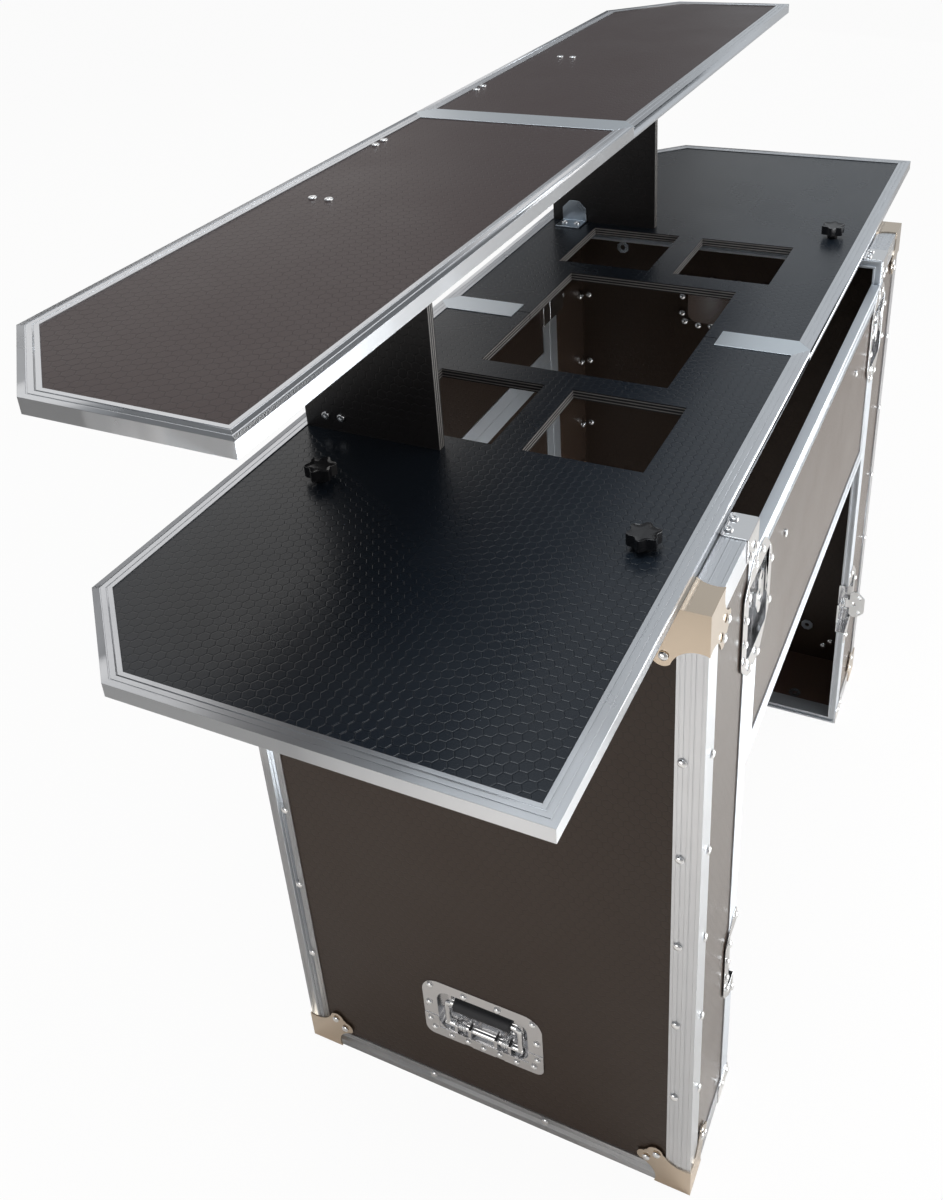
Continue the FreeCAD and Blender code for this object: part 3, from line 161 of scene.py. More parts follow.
class NodeSheet:
    """A material's nodes."""

    def __init__(self, name: str) -> None:
        """Start a material that holds only its surface shader.

        Args:
            name: the material.
        """
        self.material = bpy.data.materials.new(name)
        self.material.use_nodes = True
        self.nodes = self.material.node_tree.nodes
        self.links = self.material.node_tree.links
        self.shader = next(node for node in self.nodes if node.type == "BSDF_PRINCIPLED")
        where = self.add("ShaderNodeTexCoord", {}, [])
        self.coords = where.outputs["Object"]
        split = self.add("ShaderNodeSeparateXYZ", {}, [self.coords])
        self.axis = {name: Term(self, split.outputs[name]) for name in "XYZ"}

    def add(self, kind: str, settings: dict, inputs: object) -> bpy.types.Node:
        """Add a node.

        Args:
            kind: the node's type.
            settings: properties, set before the inputs.
            inputs: values or links, in order or by socket name.

        Returns:
            The new node.
        """
        node = self.nodes.new(kind)
        for key, value in settings.items():
            setattr(node, key, value)
        pairs = inputs.items() if isinstance(inputs, dict) else enumerate(inputs)
        for key, value in pairs:
            self.feed(node.inputs[key], value)
        return node

    def feed(self, socket: bpy.types.NodeSocket, value: object) -> None:
        """Link or set one socket.

        Args:
            socket: the socket.
            value: a term, a socket, a colour or a number.
        """
        source = value.socket if isinstance(value, Term) else value
        if isinstance(source, bpy.types.NodeSocket):
            self.links.new(source, socket)
        elif isinstance(source, tuple) and len(source) == 3 and socket.type == "RGBA":
            socket.default_value = (*source, 1.0)
        else:
            socket.default_value = source

    def noise(self, scale: float, detail: float = 3.0, stretch: Place = (1.0, 1.0, 1.0)) -> Term:
        """Noise over object coordinates.

        Args:
            scale: cells in a metre.
            detail: octaves.
            stretch: scale along each axis.

        Returns:
            The noise, about 0 to 1.
        """
        mapping = self.add("ShaderNodeMapping", {}, {"Vector": self.coords, "Scale": stretch})
        node = self.add("ShaderNodeTexNoise", {}, {
            "Vector": mapping.outputs[0], "Scale": scale, "Detail": detail})
        return Term(self, node.outputs[0])

    def mix(self, share: object, first: object, second: object) -> bpy.types.NodeSocket:
        """Mix two colours by a share.

        Args:
            share: share of the second colour.
            first: colour at no share.
            second: colour at full share.

        Returns:
            The mixed colour.
        """
        node = self.add("ShaderNodeMix", {"data_type": "RGBA"}, {})
        self.feed(node.inputs[0], share)
        self.feed(node.inputs[6], first)
        self.feed(node.inputs[7], second)
        return node.outputs[2]

    def bump(self, height: Term, depth: float) -> bpy.types.NodeSocket:
        """Turn a height of 0 to 1 into a normal.

        Args:
            height: the height.
            depth: metres between 0 and 1.

        Returns:
            The normal.
        """
        node = self.add("ShaderNodeBump", {}, {
            "Strength": 1.0, "Distance": depth, "Height": height})
        return node.outputs[0]

    def finish(self, **values: object) -> bpy.types.Material:
        """Set the shader's sockets, whose names have underscores for spaces.

        Args:
            values: what each socket gets.

        Returns:
            The finished material.
        """
        for key, value in values.items():
            self.feed(self.shader.inputs[key.replace("_", " ")], value)
        return self.material


@dataclass(frozen=True)
class FilmPly:
    """Ply with a hexagon-embossed film on its faces and bare veneers on its edges."""

    name: str
    colour: Place
    plane: Plane
    rough: float = 0.34
    sheen: float = 0.5
    cell: float = 11.5 * MM
    line: float = 0.05
    line_slope: float = 0.04
    line_share: float = 0.55
    line_shade: float = 0.45
    emboss: float = 0.12 * MM
    grain: float = 420.0
    grain_height: float = 0.12
    smudge: float = 6.0
    smudge_share: float = 0.3
    smudge_tint: tuple[float, float] = (1.35, 0.004)
    smudge_rough: float = 0.22
    edge_rough: float = 0.3
    veneer: float = 1.9 * MM
    veneer_wave: float = 0.25 * MM
    glue_line: tuple[float, float] = (0.32, 0.25)
    vein: float = 60.0
    vein_stretch: Place = (1.0, 1.0, 8.0)
    vein_share: float = 0.6
    edge_dark: Place = (0.014, 0.013, 0.014)
    edge_light: Place = (0.42, 0.40, 0.38)

    def hexagons(self, sheet: NodeSheet) -> Term:
        """One on the lines between hexagons and zero inside them.

        Args:
            sheet: the material's nodes.

        Returns:
            The lines as a mask.
        """
        across, up = self.plane.value[:2]
        first = sheet.axis[across] / self.cell
        second = sheet.axis[up] / self.cell
        tall = math.sqrt(3.0)
        cells = []
        for shift in (0.0, 0.5):
            wide = abs((first + shift).wrapped(1.0))
            high = abs((second + shift * tall).wrapped(tall))
            cells.append((wide * 0.5 + high * (tall / 2)).maths("MAXIMUM", wide))
        nearest = cells[0].maths("MINIMUM", cells[1])
        return 1.0 - nearest.below(0.5 - self.line, self.line_slope)

    def material(self) -> bpy.types.Material:
        """Build the material.

        Returns:
            The ply with its film and its edges.
        """
        sheet = NodeSheet(self.name)
        lines = self.hexagons(sheet)
        smudge = sheet.noise(self.smudge, 4.0)
        grain = sheet.noise(self.grain, 2.0)
        times, plus = self.smudge_tint
        darker = tuple(channel * self.line_shade for channel in self.colour)
        lighter = tuple(channel * times + plus for channel in self.colour)
        film = sheet.mix(lines * self.line_share, self.colour, darker)
        film = sheet.mix(smudge * self.smudge_share, film, lighter)
        shape = sheet.add("ShaderNodeNewGeometry", {}, [])
        normal = sheet.add("ShaderNodeSeparateXYZ", {}, [shape.outputs["Normal"]])
        square = self.plane.value[2]
        edge = abs(Term(sheet, normal.outputs[square])).below(0.5, 0.1)
        level = sheet.axis[square] + grain * self.veneer_wave
        layer = abs(level.wrapped(self.veneer * 2)) / self.veneer
        veins = sheet.noise(self.vein, 3.0, self.vein_stretch)
        bare = sheet.mix(layer.below(*self.glue_line), self.edge_dark, self.edge_light)
        bare = sheet.mix(veins * self.vein_share, bare, self.edge_dark)
        rough = self.rough + (smudge - 0.5) * self.smudge_rough + edge * self.edge_rough
        height = (1.0 - edge) * (lines * -1.0 + grain * self.grain_height)
        return sheet.finish(Base_Color=sheet.mix(edge, film, bare), Roughness=rough,
                            Normal=sheet.bump(height, self.emboss),
                            Specular_IOR_Level=self.sheen)


@dataclass(frozen=True)
class Metal:
    """Bare or plated metal with fine drawn lines and faint clouding."""

    name: str
    colour: Place
    rough: float
    cloud: float = 0.1
    drawn: Place = (1.0, 1.0, 1.0)
    grain_depth: float = 0.006 * MM
    grain: float = 900.0
    cloud_scale: float = 14.0
    cloud_share: float = 0.6
    cloud_shade: float = 0.82

    def relief(self, sheet: NodeSheet) -> Term:
        """Fine drawn lines."""
        return sheet.noise(self.grain, 2.0, self.drawn)

    def material(self) -> bpy.types.Material:
        """Build the material.

        Returns:
            The metal.
        """
        sheet = NodeSheet(self.name)
        cloud = sheet.noise(self.cloud_scale, 4.0)
        lines = self.relief(sheet)
        darker = tuple(channel * self.cloud_shade for channel in self.colour)
        colour = sheet.mix(cloud * self.cloud_share, self.colour, darker)
        rough = (cloud - 0.5) * self.cloud + self.rough
        return sheet.finish(Base_Color=colour, Metallic=1.0, Roughness=rough,
                            Normal=sheet.bump(lines, self.grain_depth))


@dataclass(frozen=True)
class Fluted(Metal):
    """Drawn metal with thin raised lines at set distances from a box's outer edges."""

    low: Place = (0.0, 0.0, 0.0)
    high: Place = (1.0, 1.0, 1.0)
    lines: tuple = (4 * MM, 15.6 * MM, 26 * MM)
    line: float = 0.5 * MM
    slope: float = 0.4 * MM
    rise: float = 40.0

    def relief(self, sheet: NodeSheet) -> Term:
        """Drawn lines, and the raised ones.

        Args:
            sheet: the material's nodes.

        Returns:
            The height of the lines.
        """
        shape = sheet.add("ShaderNodeNewGeometry", {}, [])
        square = sheet.add("ShaderNodeSeparateXYZ", {}, [shape.outputs["True Normal"]])
        apart = []
        for name, low, high in zip("XYZ", self.low, self.high):
            place = sheet.axis[name]
            nearest = abs(place - low).maths("MINIMUM", abs(place - high))
            apart.append(nearest + abs(Term(sheet, square.outputs[name])))
        distance = apart[0].maths("MINIMUM", apart[1]).maths("MINIMUM", apart[2])
        ridge = super().relief(sheet)
        for place in self.lines:
            ridge = ridge + abs(distance - place).below(self.line, self.slope) * self.rise
        return ridge


@dataclass(frozen=True)
class Moulded:
    """Moulded plastic or rubber."""

    name: str
    colour: Place
    rough: float
    grain: float
    depth: float
    grain_share: float = 0.5
    grain_tint: tuple[float, float] = (1.8, 0.003)
    grain_rough: float = 0.2

    def material(self) -> bpy.types.Material:
        """Build the material.

        Returns:
            The plastic or rubber.
        """
        sheet = NodeSheet(self.name)
        grain = sheet.noise(self.grain, 3.0)
        times, plus = self.grain_tint
        lighter = tuple(channel * times + plus for channel in self.colour)
        colour = sheet.mix(grain * self.grain_share, self.colour, lighter)
        rough = (grain - 0.5) * self.grain_rough + self.rough
        return sheet.finish(Base_Color=colour, Roughness=rough,
                            Normal=sheet.bump(grain, self.depth))


@dataclass
class Finishes:
    """Every finish of the bar, each built once."""

    made: dict = field(default_factory=dict)

    def of(self, recipe: object) -> bpy.types.Material:
        """The material of a recipe.

        Args:
            recipe: the finish.

        Returns:
            Its material, built at the first call.
        """
        if recipe.name not in self.made:
            self.made[recipe.name] = recipe.material()
        return self.made[recipe.name]


BLACK = (0.008, 0.012, 0.018)
BROWN = (0.062, 0.035, 0.024)
WORKTOP_FILM = FilmPly("worktop_film", BLACK, Plane.LEVEL, 0.27, 0.5)
BAR_TOP_FILM = FilmPly("bar_top_film", (0.038, 0.025, 0.024), Plane.LEVEL, 0.36, 0.2)
SUPPORT_FILM = FilmPly("support_film", (0.016, 0.014, 0.014), Plane.END)
END_FILM = FilmPly("end_film", (0.033, 0.020, 0.013), Plane.END, 0.42, 0.3)
LONG_FILM = FilmPly("long_side_film", (0.048, 0.030, 0.021), Plane.LONG, 0.21, 1.0)
# Front panel boards: the long sides' brown film made darker, as painted shade for the shaded inner
# walls of the wells.
FRONT_FILM_PAINTED_SHADE = FilmPly("front_film", (0.028, 0.018, 0.013), Plane.LONG, 0.4, 0.3)
LEVEL_FILM = FilmPly("pedestal_level_film", BROWN, Plane.LEVEL, 0.4)
ALUMINIUM = Metal("ribbed_aluminium", (0.74, 0.76, 0.79), 0.3, 0.16)
FRAME_ALUMINIUM = Metal("frame_aluminium", (0.72, 0.75, 0.79), 0.5, 0.1)
STRIP_ALUMINIUM = Metal("strip_aluminium", (0.80, 0.86, 0.91), 0.32, 0.1, (1.0, 0.02, 1.0),
                        0.05 * MM, 260.0)
# Chrome of the corner covers, tinted tan and darkened as a painted warm reflection of the floor;
# the metal itself is neutral.
CHROME_PAINTED_REFLECTION = Metal("pressed_chrome", (0.72, 0.61, 0.49), 0.10, 0.05, grain=300.0)
PLATE_CHROME = Metal("plate_chrome", (0.84, 0.84, 0.85), 0.12, 0.05, grain=300.0)
ZINC = Metal("bright_zinc", (0.62, 0.69, 0.76), 0.28, 0.22)
STEEL = Metal("rivet_steel", (0.93, 0.94, 0.95), 0.13, 0.05, grain=300.0)
KNOB_BLACK = Moulded("knob_gloss", (0.008, 0.008, 0.009), 0.16, 500.0, 0.004 * MM)
RUBBER = Moulded("grip_rubber", (0.014, 0.015, 0.018), 0.6, 700.0, 0.05 * MM)


class Bench:
    """Modelling moves on one object at a time."""

    weld: float = 1e-6
    flat: float = math.radians(0.5)
    wire_sides: int = 20
    bend_steps: int = 7

    def __init__(self, finishes: Finishes) -> None:
        """Keep the finishes at hand."""
        self.finishes = finishes

    def clear(self) -> None:
        """Deselect everything."""
        if bpy.context.mode != "OBJECT":
            bpy.ops.object.mode_set(mode="OBJECT")
        bpy.ops.object.select_all(action="DESELECT")

    def take(self, item: bpy.types.Object) -> bpy.types.Object:
        """Make an object the only one selected.

        Args:
            item: the object.

        Returns:
            The same object.
        """
        self.clear()
        item.select_set(True)
        bpy.context.view_layer.objects.active = item
        return item

    def started(self, name: str) -> bpy.types.Object:
        """Name the object that a primitive operator has just added.

        Args:
            name: the piece.

        Returns:
            The new object, selected.
        """
        item = bpy.context.object
        item.name = name
        item.data.name = name
        return self.take(item)

    def cylinder(self, name: str, radius: float, height: float, sides: int) -> bpy.types.Object:
        """Cylinder standing on the origin.

        Args:
            name: the piece.
            radius: of the cylinder.
            height: of the cylinder.
            sides: faces round it.

        Returns:
            The cylinder.
        """
        self.clear()
        bpy.ops.mesh.primitive_cylinder_add(vertices=sides, radius=radius, depth=height,
                                            location=(0.0, 0.0, height / 2))
        return self.baked(self.started(name))

    def box(self, name: str, size: Place, middle: Place) -> bpy.types.Object:
        """Block of a size about its middle.

        Args:
            name: the piece.
            size: lengths along the axes.
            middle: the block's middle.

        Returns:
            The block.
        """
        self.clear()
        bpy.ops.mesh.primitive_cube_add(size=1.0, location=middle, scale=size)
        return self.baked(self.started(name))

    def bent_wire(self, name: str, radius: float, start: Vector,
                  moves: Sequence[object]) -> bpy.types.Object:
        """Wire drawn by moving a circle, which starts level.

        Args:
            name: the piece.
            radius: of the wire.
            start: middle of the circle.
            moves: straight steps as vectors, and turns about X as pairs of angle and centre.

        Returns:
            The wire, with closed ends.
        """
        self.clear()
        bpy.ops.mesh.primitive_circle_add(vertices=self.wire_sides, radius=radius,
                                          location=start)
        item = self.baked(self.started(name))
        bpy.ops.object.mode_set(mode="EDIT")
        bpy.ops.mesh.select_mode(type="EDGE")
        bpy.ops.mesh.select_all(action="SELECT")
        for move in moves:
            if isinstance(move, Vector):
                bpy.ops.mesh.extrude_edges_move(TRANSFORM_OT_translate={"value": move})
            else:
                bpy.ops.mesh.spin(steps=self.bend_steps, angle=move[0], center=move[1],
                                  axis=(1.0, 0.0, 0.0))
        self.leave()
        return self.closed(item)

    def closed(self, item: bpy.types.Object) -> bpy.types.Object:
        """Fill the open ends of a tube and point its faces outwards.

        Args:
            item: the tube.

        Returns:
            The closed tube.
        """
        self.take(item)
        bpy.ops.object.mode_set(mode="EDIT")
        bpy.ops.mesh.select_all(action="SELECT")
        bpy.ops.mesh.fill_holes(sides=0)
        bpy.ops.mesh.select_all(action="SELECT")
        bpy.ops.mesh.normals_make_consistent(inside=False)
        self.leave()
        return item

    def baked(self, item: bpy.types.Object) -> bpy.types.Object:
        """Put an object's place into its mesh.

        Args:
            item: the object.

        Returns:
            The same object, back at the origin.
        """
        self.take(item)
        bpy.ops.object.transform_apply(location=True, rotation=True, scale=True)
        return item

    def edit(self, item: bpy.types.Object, mode: str) -> None:
        """Deselect all of a mesh and choose what edit mode works on.

        Args:
            item: the object.
            mode: VERT, EDGE or FACE.
        """
        self.take(item)
        bpy.ops.object.mode_set(mode="EDIT")
        bpy.ops.mesh.select_mode(type=mode)
        bpy.ops.mesh.select_all(action="DESELECT")
        self.leave()

    def pick_faces(self, item: bpy.types.Object, test: Callable[[Vector, Vector], bool]) -> None:
        """Enter edit mode with the faces selected whose centre and normal pass a test.

        Args:
            item: the object.
            test: what a face's centre and normal must pass.
        """
        self.edit(item, "FACE")
        for face in item.data.polygons:
            face.select = test(face.center, face.normal)
        bpy.ops.object.mode_set(mode="EDIT")

    def pick_edges(self, item: bpy.types.Object, test: Callable[[Vector, Vector], bool]) -> None:
        """Enter edit mode with the edges selected whose two ends pass a test.

        Args:
            item: the object.
            test: what the ends of an edge must pass.
        """
        self.edit(item, "EDGE")
        points = item.data.vertices
        for edge in item.data.edges:
            edge.select = test(points[edge.vertices[0]].co, points[edge.vertices[1]].co)
        bpy.ops.object.mode_set(mode="EDIT")

    def pick_sharp(self, item: bpy.types.Object, least: float,
                   test: Callable[[Vector, Vector], bool]) -> None:
        """Enter edit mode with the sharp edges selected whose two ends pass a test.

        Args:
            item: the object.
            least: least angle between faces, in degrees.
            test: what the ends of an edge must pass.
        """
        self.edit(item, "EDGE")
        bpy.ops.object.mode_set(mode="EDIT")
        bpy.ops.mesh.edges_select_sharp(sharpness=math.radians(least))
        self.leave()
        points = item.data.vertices
        picked = [edge.index for edge in item.data.edges if edge.select
                  and test(*(points[index].co for index in edge.vertices))]
        self.edit(item, "EDGE")
        for index in picked:
            item.data.edges[index].select = True
        bpy.ops.object.mode_set(mode="EDIT")

    def round_corners(self, item: bpy.types.Object, width: float, steps: int, least: float,
                      test: Callable[[Vector, Vector], bool]) -> bpy.types.Object:
        """Round picked corners of an outline.

        Args:
            item: the piece.
            width: how far the round reaches from the corner.
            steps: faces across it.
            least: least angle between faces, in degrees.
            test: what the ends of an edge must pass.

        Returns:
            The piece.
        """
        self.pick_sharp(item, least, test)
        if bpy.context.object.data.total_edge_sel:
            bpy.ops.mesh.bevel(offset=width, segments=steps, affect="EDGES", clamp_overlap=True)
        self.leave()
        return item

    def leave(self) -> None:
        """Go back to object mode."""
        bpy.ops.object.mode_set(mode="OBJECT")

    def modify(self, item: bpy.types.Object, kind: str, **settings: object) -> bpy.types.Object:
        """Add one modifier and apply it.

        Args:
            item: the object.
            kind: the modifier's type.
            settings: its properties.

        Returns:
            The changed object.
        """
        self.take(item)
        modifier = item.modifiers.new(kind.lower(), kind)
        for key, value in settings.items():
            setattr(modifier, key, value)
        bpy.ops.object.modifier_apply(modifier=modifier.name)
        return item

    def bevelled(self, item: bpy.types.Object, width: float, steps: int = 2,
                 angle: float = 35.0) -> bpy.types.Object:
        """Round the sharp edges of a piece.

        Args:
            item: the piece.
            width: width of the round.
            steps: faces across it.
            angle: least angle between faces, in degrees.

        Returns:
            The piece.
        """
        self.modify(item, "BEVEL", width=width, segments=steps, limit_method="ANGLE",
                    angle_limit=math.radians(angle), use_clamp_overlap=True)
        return self.smooth(item, 50.0)

    def smooth(self, item: bpy.types.Object, angle: float = 35.0) -> bpy.types.Object:
        """Shade smooth up to an angle, with the flat faces kept flat.

        Args:
            item: the piece.
            angle: least angle that stays sharp, in degrees.

        Returns:
            The piece.
        """
        self.take(item)
        bpy.ops.object.shade_smooth_by_angle(angle=math.radians(angle))
        return self.modify(item, "WEIGHTED_NORMAL", keep_sharp=True)

    def copied(self, item: bpy.types.Object, place: Matrix) -> bpy.types.Object:
        """A copy with a mesh of its own, moved by a matrix.

        Args:
            item: the object.
            place: the move.

        Returns:
            The copy, its faces outwards.
        """
        twin = bpy.data.objects.new(item.name, item.data.copy())
        twin.data.transform(place)
        if place.determinant() < 0:
            twin.data.flip_normals()
        bpy.context.collection.objects.link(twin)
        return twin

    def joined(self, name: str, items: Sequence[bpy.types.Object]) -> bpy.types.Object:
        """Several objects made one.

        Args:
            name: the new piece.
            items: the objects.

        Returns:
            The one object.
        """
        self.clear()
        for item in items:
            item.select_set(True)
        bpy.context.view_layer.objects.active = items[0]
        bpy.ops.object.join()
        return self.started(name)

    def drop(self, item: bpy.types.Object) -> None:
        """Remove a pattern piece."""
        bpy.data.objects.remove(item, do_unlink=True)

    def from_node(self, node: str, name: str) -> bpy.types.Object:
        """A merged copy of a CAD node.

        Args:
            node: the node.
            name: the new piece.

        Returns:
            The copy, with its flat faces whole.
        """
        item = bpy.data.objects.new(name, frame["nodes"][node].data.copy())
        bpy.context.collection.objects.link(item)
        self.take(item)
        bpy.ops.object.mode_set(mode="EDIT")
        bpy.ops.mesh.select_all(action="SELECT")
        bpy.ops.mesh.remove_doubles(threshold=self.weld)
        bpy.ops.mesh.dissolve_limited(angle_limit=self.flat)
        self.leave()
        return item

    def dress(self, item: bpy.types.Object, recipe: object) -> bpy.types.Object:
        """Give a piece its finish.

        Args:
            item: the piece.
            recipe: its finish.

        Returns:
            The piece.
        """
        item.data.materials.clear()
        item.data.materials.append(self.finishes.of(recipe))
        for face in item.data.polygons:
            face.material_index = 0
        return item

    def keep(self, item: bpy.types.Object, body: str, recipe: object,
             nodes: Iterable[str] = ()) -> bpy.types.Object:
        """Hand a finished piece over: finish, body and the nodes it stands for.

        Args:
            item: the piece.
            body: the body that it rides on.
            recipe: its finish.
            nodes: CAD nodes that it stands for.

        Returns:
            The piece.
        """
        self.dress(item, recipe)
        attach(item, body)
        if nodes:
            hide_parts(*nodes)
        LOG.info("%s on %s", item.name, body)
        return item


@dataclass
class Case:
    """Main places of the bar, read from the CAD model, in metres."""

    low: Vector = field(default_factory=lambda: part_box("edge_angles")[0])
    high: Vector = field(default_factory=lambda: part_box("edge_angles")[1])
    cover: float = 1.5 * MM
    wall: float = 1.5 * MM
    panel: float = 9 * MM


def along(axis: int, shortest: float, longest: float,
          inside: Optional[Callable[[Vector], bool]] = None) -> Callable[[Vector, Vector], bool]:
    """Test for edges along an axis.

    Args:
        axis: 0, 1 or 2.
        shortest: least length.
        longest: greatest length.
        inside: further test of an edge's first end.

    Returns:
        The test.
    """
    def test(first: Vector, last: Vector) -> bool:
        """Whether an edge passes.

        Args:
            first: one end.
            last: the other end.

        Returns:
            True where it lies along the axis.
        """
        step = last - first
        straight = abs(abs(step[axis]) - step.length) < 1e-6
        fits = shortest <= step.length <= longest
        return straight and fits and (inside is None or inside(first))
    return test


def turned(way: Way) -> Matrix:
    """Rotation that takes +Z to a way."""
    return Vector((0.0, 0.0, 1.0)).rotation_difference(Vector(way.value)).to_matrix().to_4x4()


@dataclass(frozen=True)
class Spot:
    """Where a fastener's head stands, and the way that it points."""

    place: Vector
    way: Way

    @property
    def matrix(self) -> Matrix:
        """Move that takes a head from the origin to the spot."""
        return Matrix.Translation(self.place) @ turned(self.way)

    def sunk(self, depth: float) -> "Spot":
        """The spot on the other face of a wall, pointing back.

        Args:
            depth: the wall's thickness.

        Returns:
            The spot behind it.
        """
        out = Vector(self.way.value)
        back = Way(tuple(-share or 0.0 for share in self.way.value))
        return Spot(self.place - out * depth, back)


@dataclass
class Fasteners:
    """Domed rivets, their tails inside the boxes, and socket bolts."""

    bench: Bench
    case: Case
    head: float = 4.9 * MM
    rise: float = 2.2 * MM
    tail: float = 6.2 * MM
    tail_rise: float = 3.8 * MM
    bolt_radius: float = 4.9 * MM
    bolt_rise: float = 2.6 * MM
    bolt_round: float = 1.5 * MM
    socket: float = 2.1 * MM
    rim_reach: float = 400 * MM
    dome_cuts: tuple[int, int] = (14, 8)

    def dome(self, radius: float, rise: float) -> bpy.types.Object:
        """Low dome, open at its foot.

        The resize works about the middle of the dome's points, so its foot lies 0.7 to 1.5 mm
        above the origin.

        Args:
            radius: of its foot.
            rise: its height.

        Returns:
            The dome.
        """
        self.bench.clear()
        around, rings = self.dome_cuts
        bpy.ops.mesh.primitive_uv_sphere_add(segments=around, ring_count=rings, radius=radius)
        item = self.bench.started("dome")
        self.bench.pick_faces(item, lambda centre, normal: centre.z < 0)
        bpy.ops.mesh.delete(type="FACE")
        bpy.ops.mesh.select_all(action="SELECT")
        bpy.ops.transform.resize(value=(1.0, 1.0, rise / radius))
        self.bench.leave()
        return self.bench.smooth(item, 50.0)

    def tail_form(self) -> bpy.types.Object:
        """Domed washer of a rivet, inside the box."""
        return self.dome(self.tail, self.tail_rise)

    def bolt(self) -> bpy.types.Object:
        """Button head with a hexagon socket.

        Returns:
            The bolt's head.
        """
        bench = self.bench
        item = bench.cylinder("button", self.bolt_radius, self.bolt_rise, 24)
        bench.pick_edges(item, lambda first, last: min(first.z, last.z) > self.bolt_rise / 2)
        bpy.ops.mesh.bevel(offset=self.bolt_round, segments=4, affect="EDGES")
        bench.leave()
        hole = bench.cylinder("socket", self.socket, self.bolt_rise, 6)
        hole.data.transform(Matrix.Translation((0.0, 0.0, self.bolt_rise / 2)))
        bench.modify(item, "BOOLEAN", operation="DIFFERENCE", object=hole, solver="EXACT")
        bench.drop(hole)
        return bench.smooth(item)

    def spots_of(self, node: str) -> list[Spot]:
        """Where the CAD model has its heads.

        Args:
            node: a node of separate heads, each wider at its foot.

        Returns:
            The middle of each head's foot and the way that the head points.
        """
        bench, spots = self.bench, []
        item = bench.from_node(node, "pattern")
        before = set(bpy.data.objects)
        bench.take(item)
        bpy.ops.mesh.separate(type="LOOSE")
        for head in [item, *(set(bpy.data.objects) - before)]:
            points = [vertex.co for vertex in head.data.vertices]
            low = Vector([min(point[axis] for point in points) for axis in range(3)])
            high = Vector([max(point[axis] for point in points) for axis in range(3)])
            span = high - low
            axis = min(range(3), key=lambda index: span[index])
            foot = self.foot_level(points, axis, low[axis], high[axis])
            place = (low + high) / 2
            place[axis] = foot
            out = [0.0, 0.0, 0.0]
            out[axis] = 1.0 if foot < (low[axis] + high[axis]) / 2 else -1.0
            spots.append(Spot(place, Way(tuple(out))))
            bench.drop(head)
        return sorted(spots, key=lambda spot: tuple(round(value, 5) for value in spot.place))

    def foot_level(self, points: Sequence[Vector], axis: int, low: float, high: float) -> float:
        """Level of a head's wider end along its axis.

        Args:
            points: the head's points.
            axis: the head's axis.
            low: one end's level.
            high: the other end's level.

        Returns:
            The level of the wider end.
        """
        def width(level: float) -> float:
            """Spread of the points at one end."""
            end = [point for point in points if abs(point[axis] - level) < 1e-5]
            return max((first - last).length for first in end for last in end)
        return low if width(low) > width(high) else high

    def set_heads(self, name: str, form: bpy.types.Object, spots: Sequence[Spot],
                  nodes: Iterable[str] = (), recipe: object = STEEL) -> None:
        """Stand copies of a head at spots and join them.

        Args:
            name: the piece.
            form: the head.
            spots: where they stand.
            nodes: CAD nodes that they stand for.
            recipe: their finish.
        """
        heads = [self.bench.copied(form, spot.matrix) for spot in spots]
        self.bench.drop(form)
        self.bench.keep(self.bench.joined(name, heads), "frame", recipe, nodes)

    def depth_under(self, spot: Spot) -> float:
        """Metal and ply under a head, thicker by a cover where the head stands on one.

        Args:
            spot: the head's spot.

        Returns:
            The thickness in metres.
        """
        ends = (self.case.low, self.case.high)
        proud = any(abs(spot.place[axis] - end[axis]) > self.case.cover / 2
                    for end in ends for axis in (0, 1)
                    if spot.way.value[axis] and spot.place[axis] * end[axis] > 0)
        return self.case.panel + self.case.wall + (self.case.cover if proud else 0.0)

    def make(self) -> None:
        """Model every rivet and bolt of the boxes."""
        rivets = self.spots_of("rivets")
        self.set_heads("rivet_heads", self.dome(self.head, self.rise), rivets, ["rivets"])
        tails = [spot.sunk(self.depth_under(spot)) for spot in rivets
                 if abs(spot.place.x) > self.rim_reach]
        self.set_heads("rivet_tails", self.tail_form(), tails)
        self.set_heads("socket_bolts", self.bolt(), self.spots_of("bolt_heads"), ["bolt_heads"])


@dataclass
class Boards:
    """Film-faced boards, shown as the CAD model has them."""

    bench: Bench
    finish: dict = field(default_factory=lambda: {
        "worktop_board_near": WORKTOP_FILM, "worktop_board_far": WORKTOP_FILM,
        "bar_top_board_near": BAR_TOP_FILM, "bar_top_board_far": BAR_TOP_FILM,
        "support_boards": SUPPORT_FILM, "end_panels": END_FILM, "side_panels": LONG_FILM,
        # The front panel boards take the darker film, painted shade inside the wells.
        "back_panel_board": LONG_FILM, "front_panel_boards": FRONT_FILM_PAINTED_SHADE,
        "top_panels": LEVEL_FILM, "bottom_panels": LEVEL_FILM,
    })

    def make(self) -> None:
        """Give each board its film."""
        for node, recipe in self.finish.items():
            self.bench.dress(frame["nodes"][node], recipe)
            LOG.info("%s dressed", node)


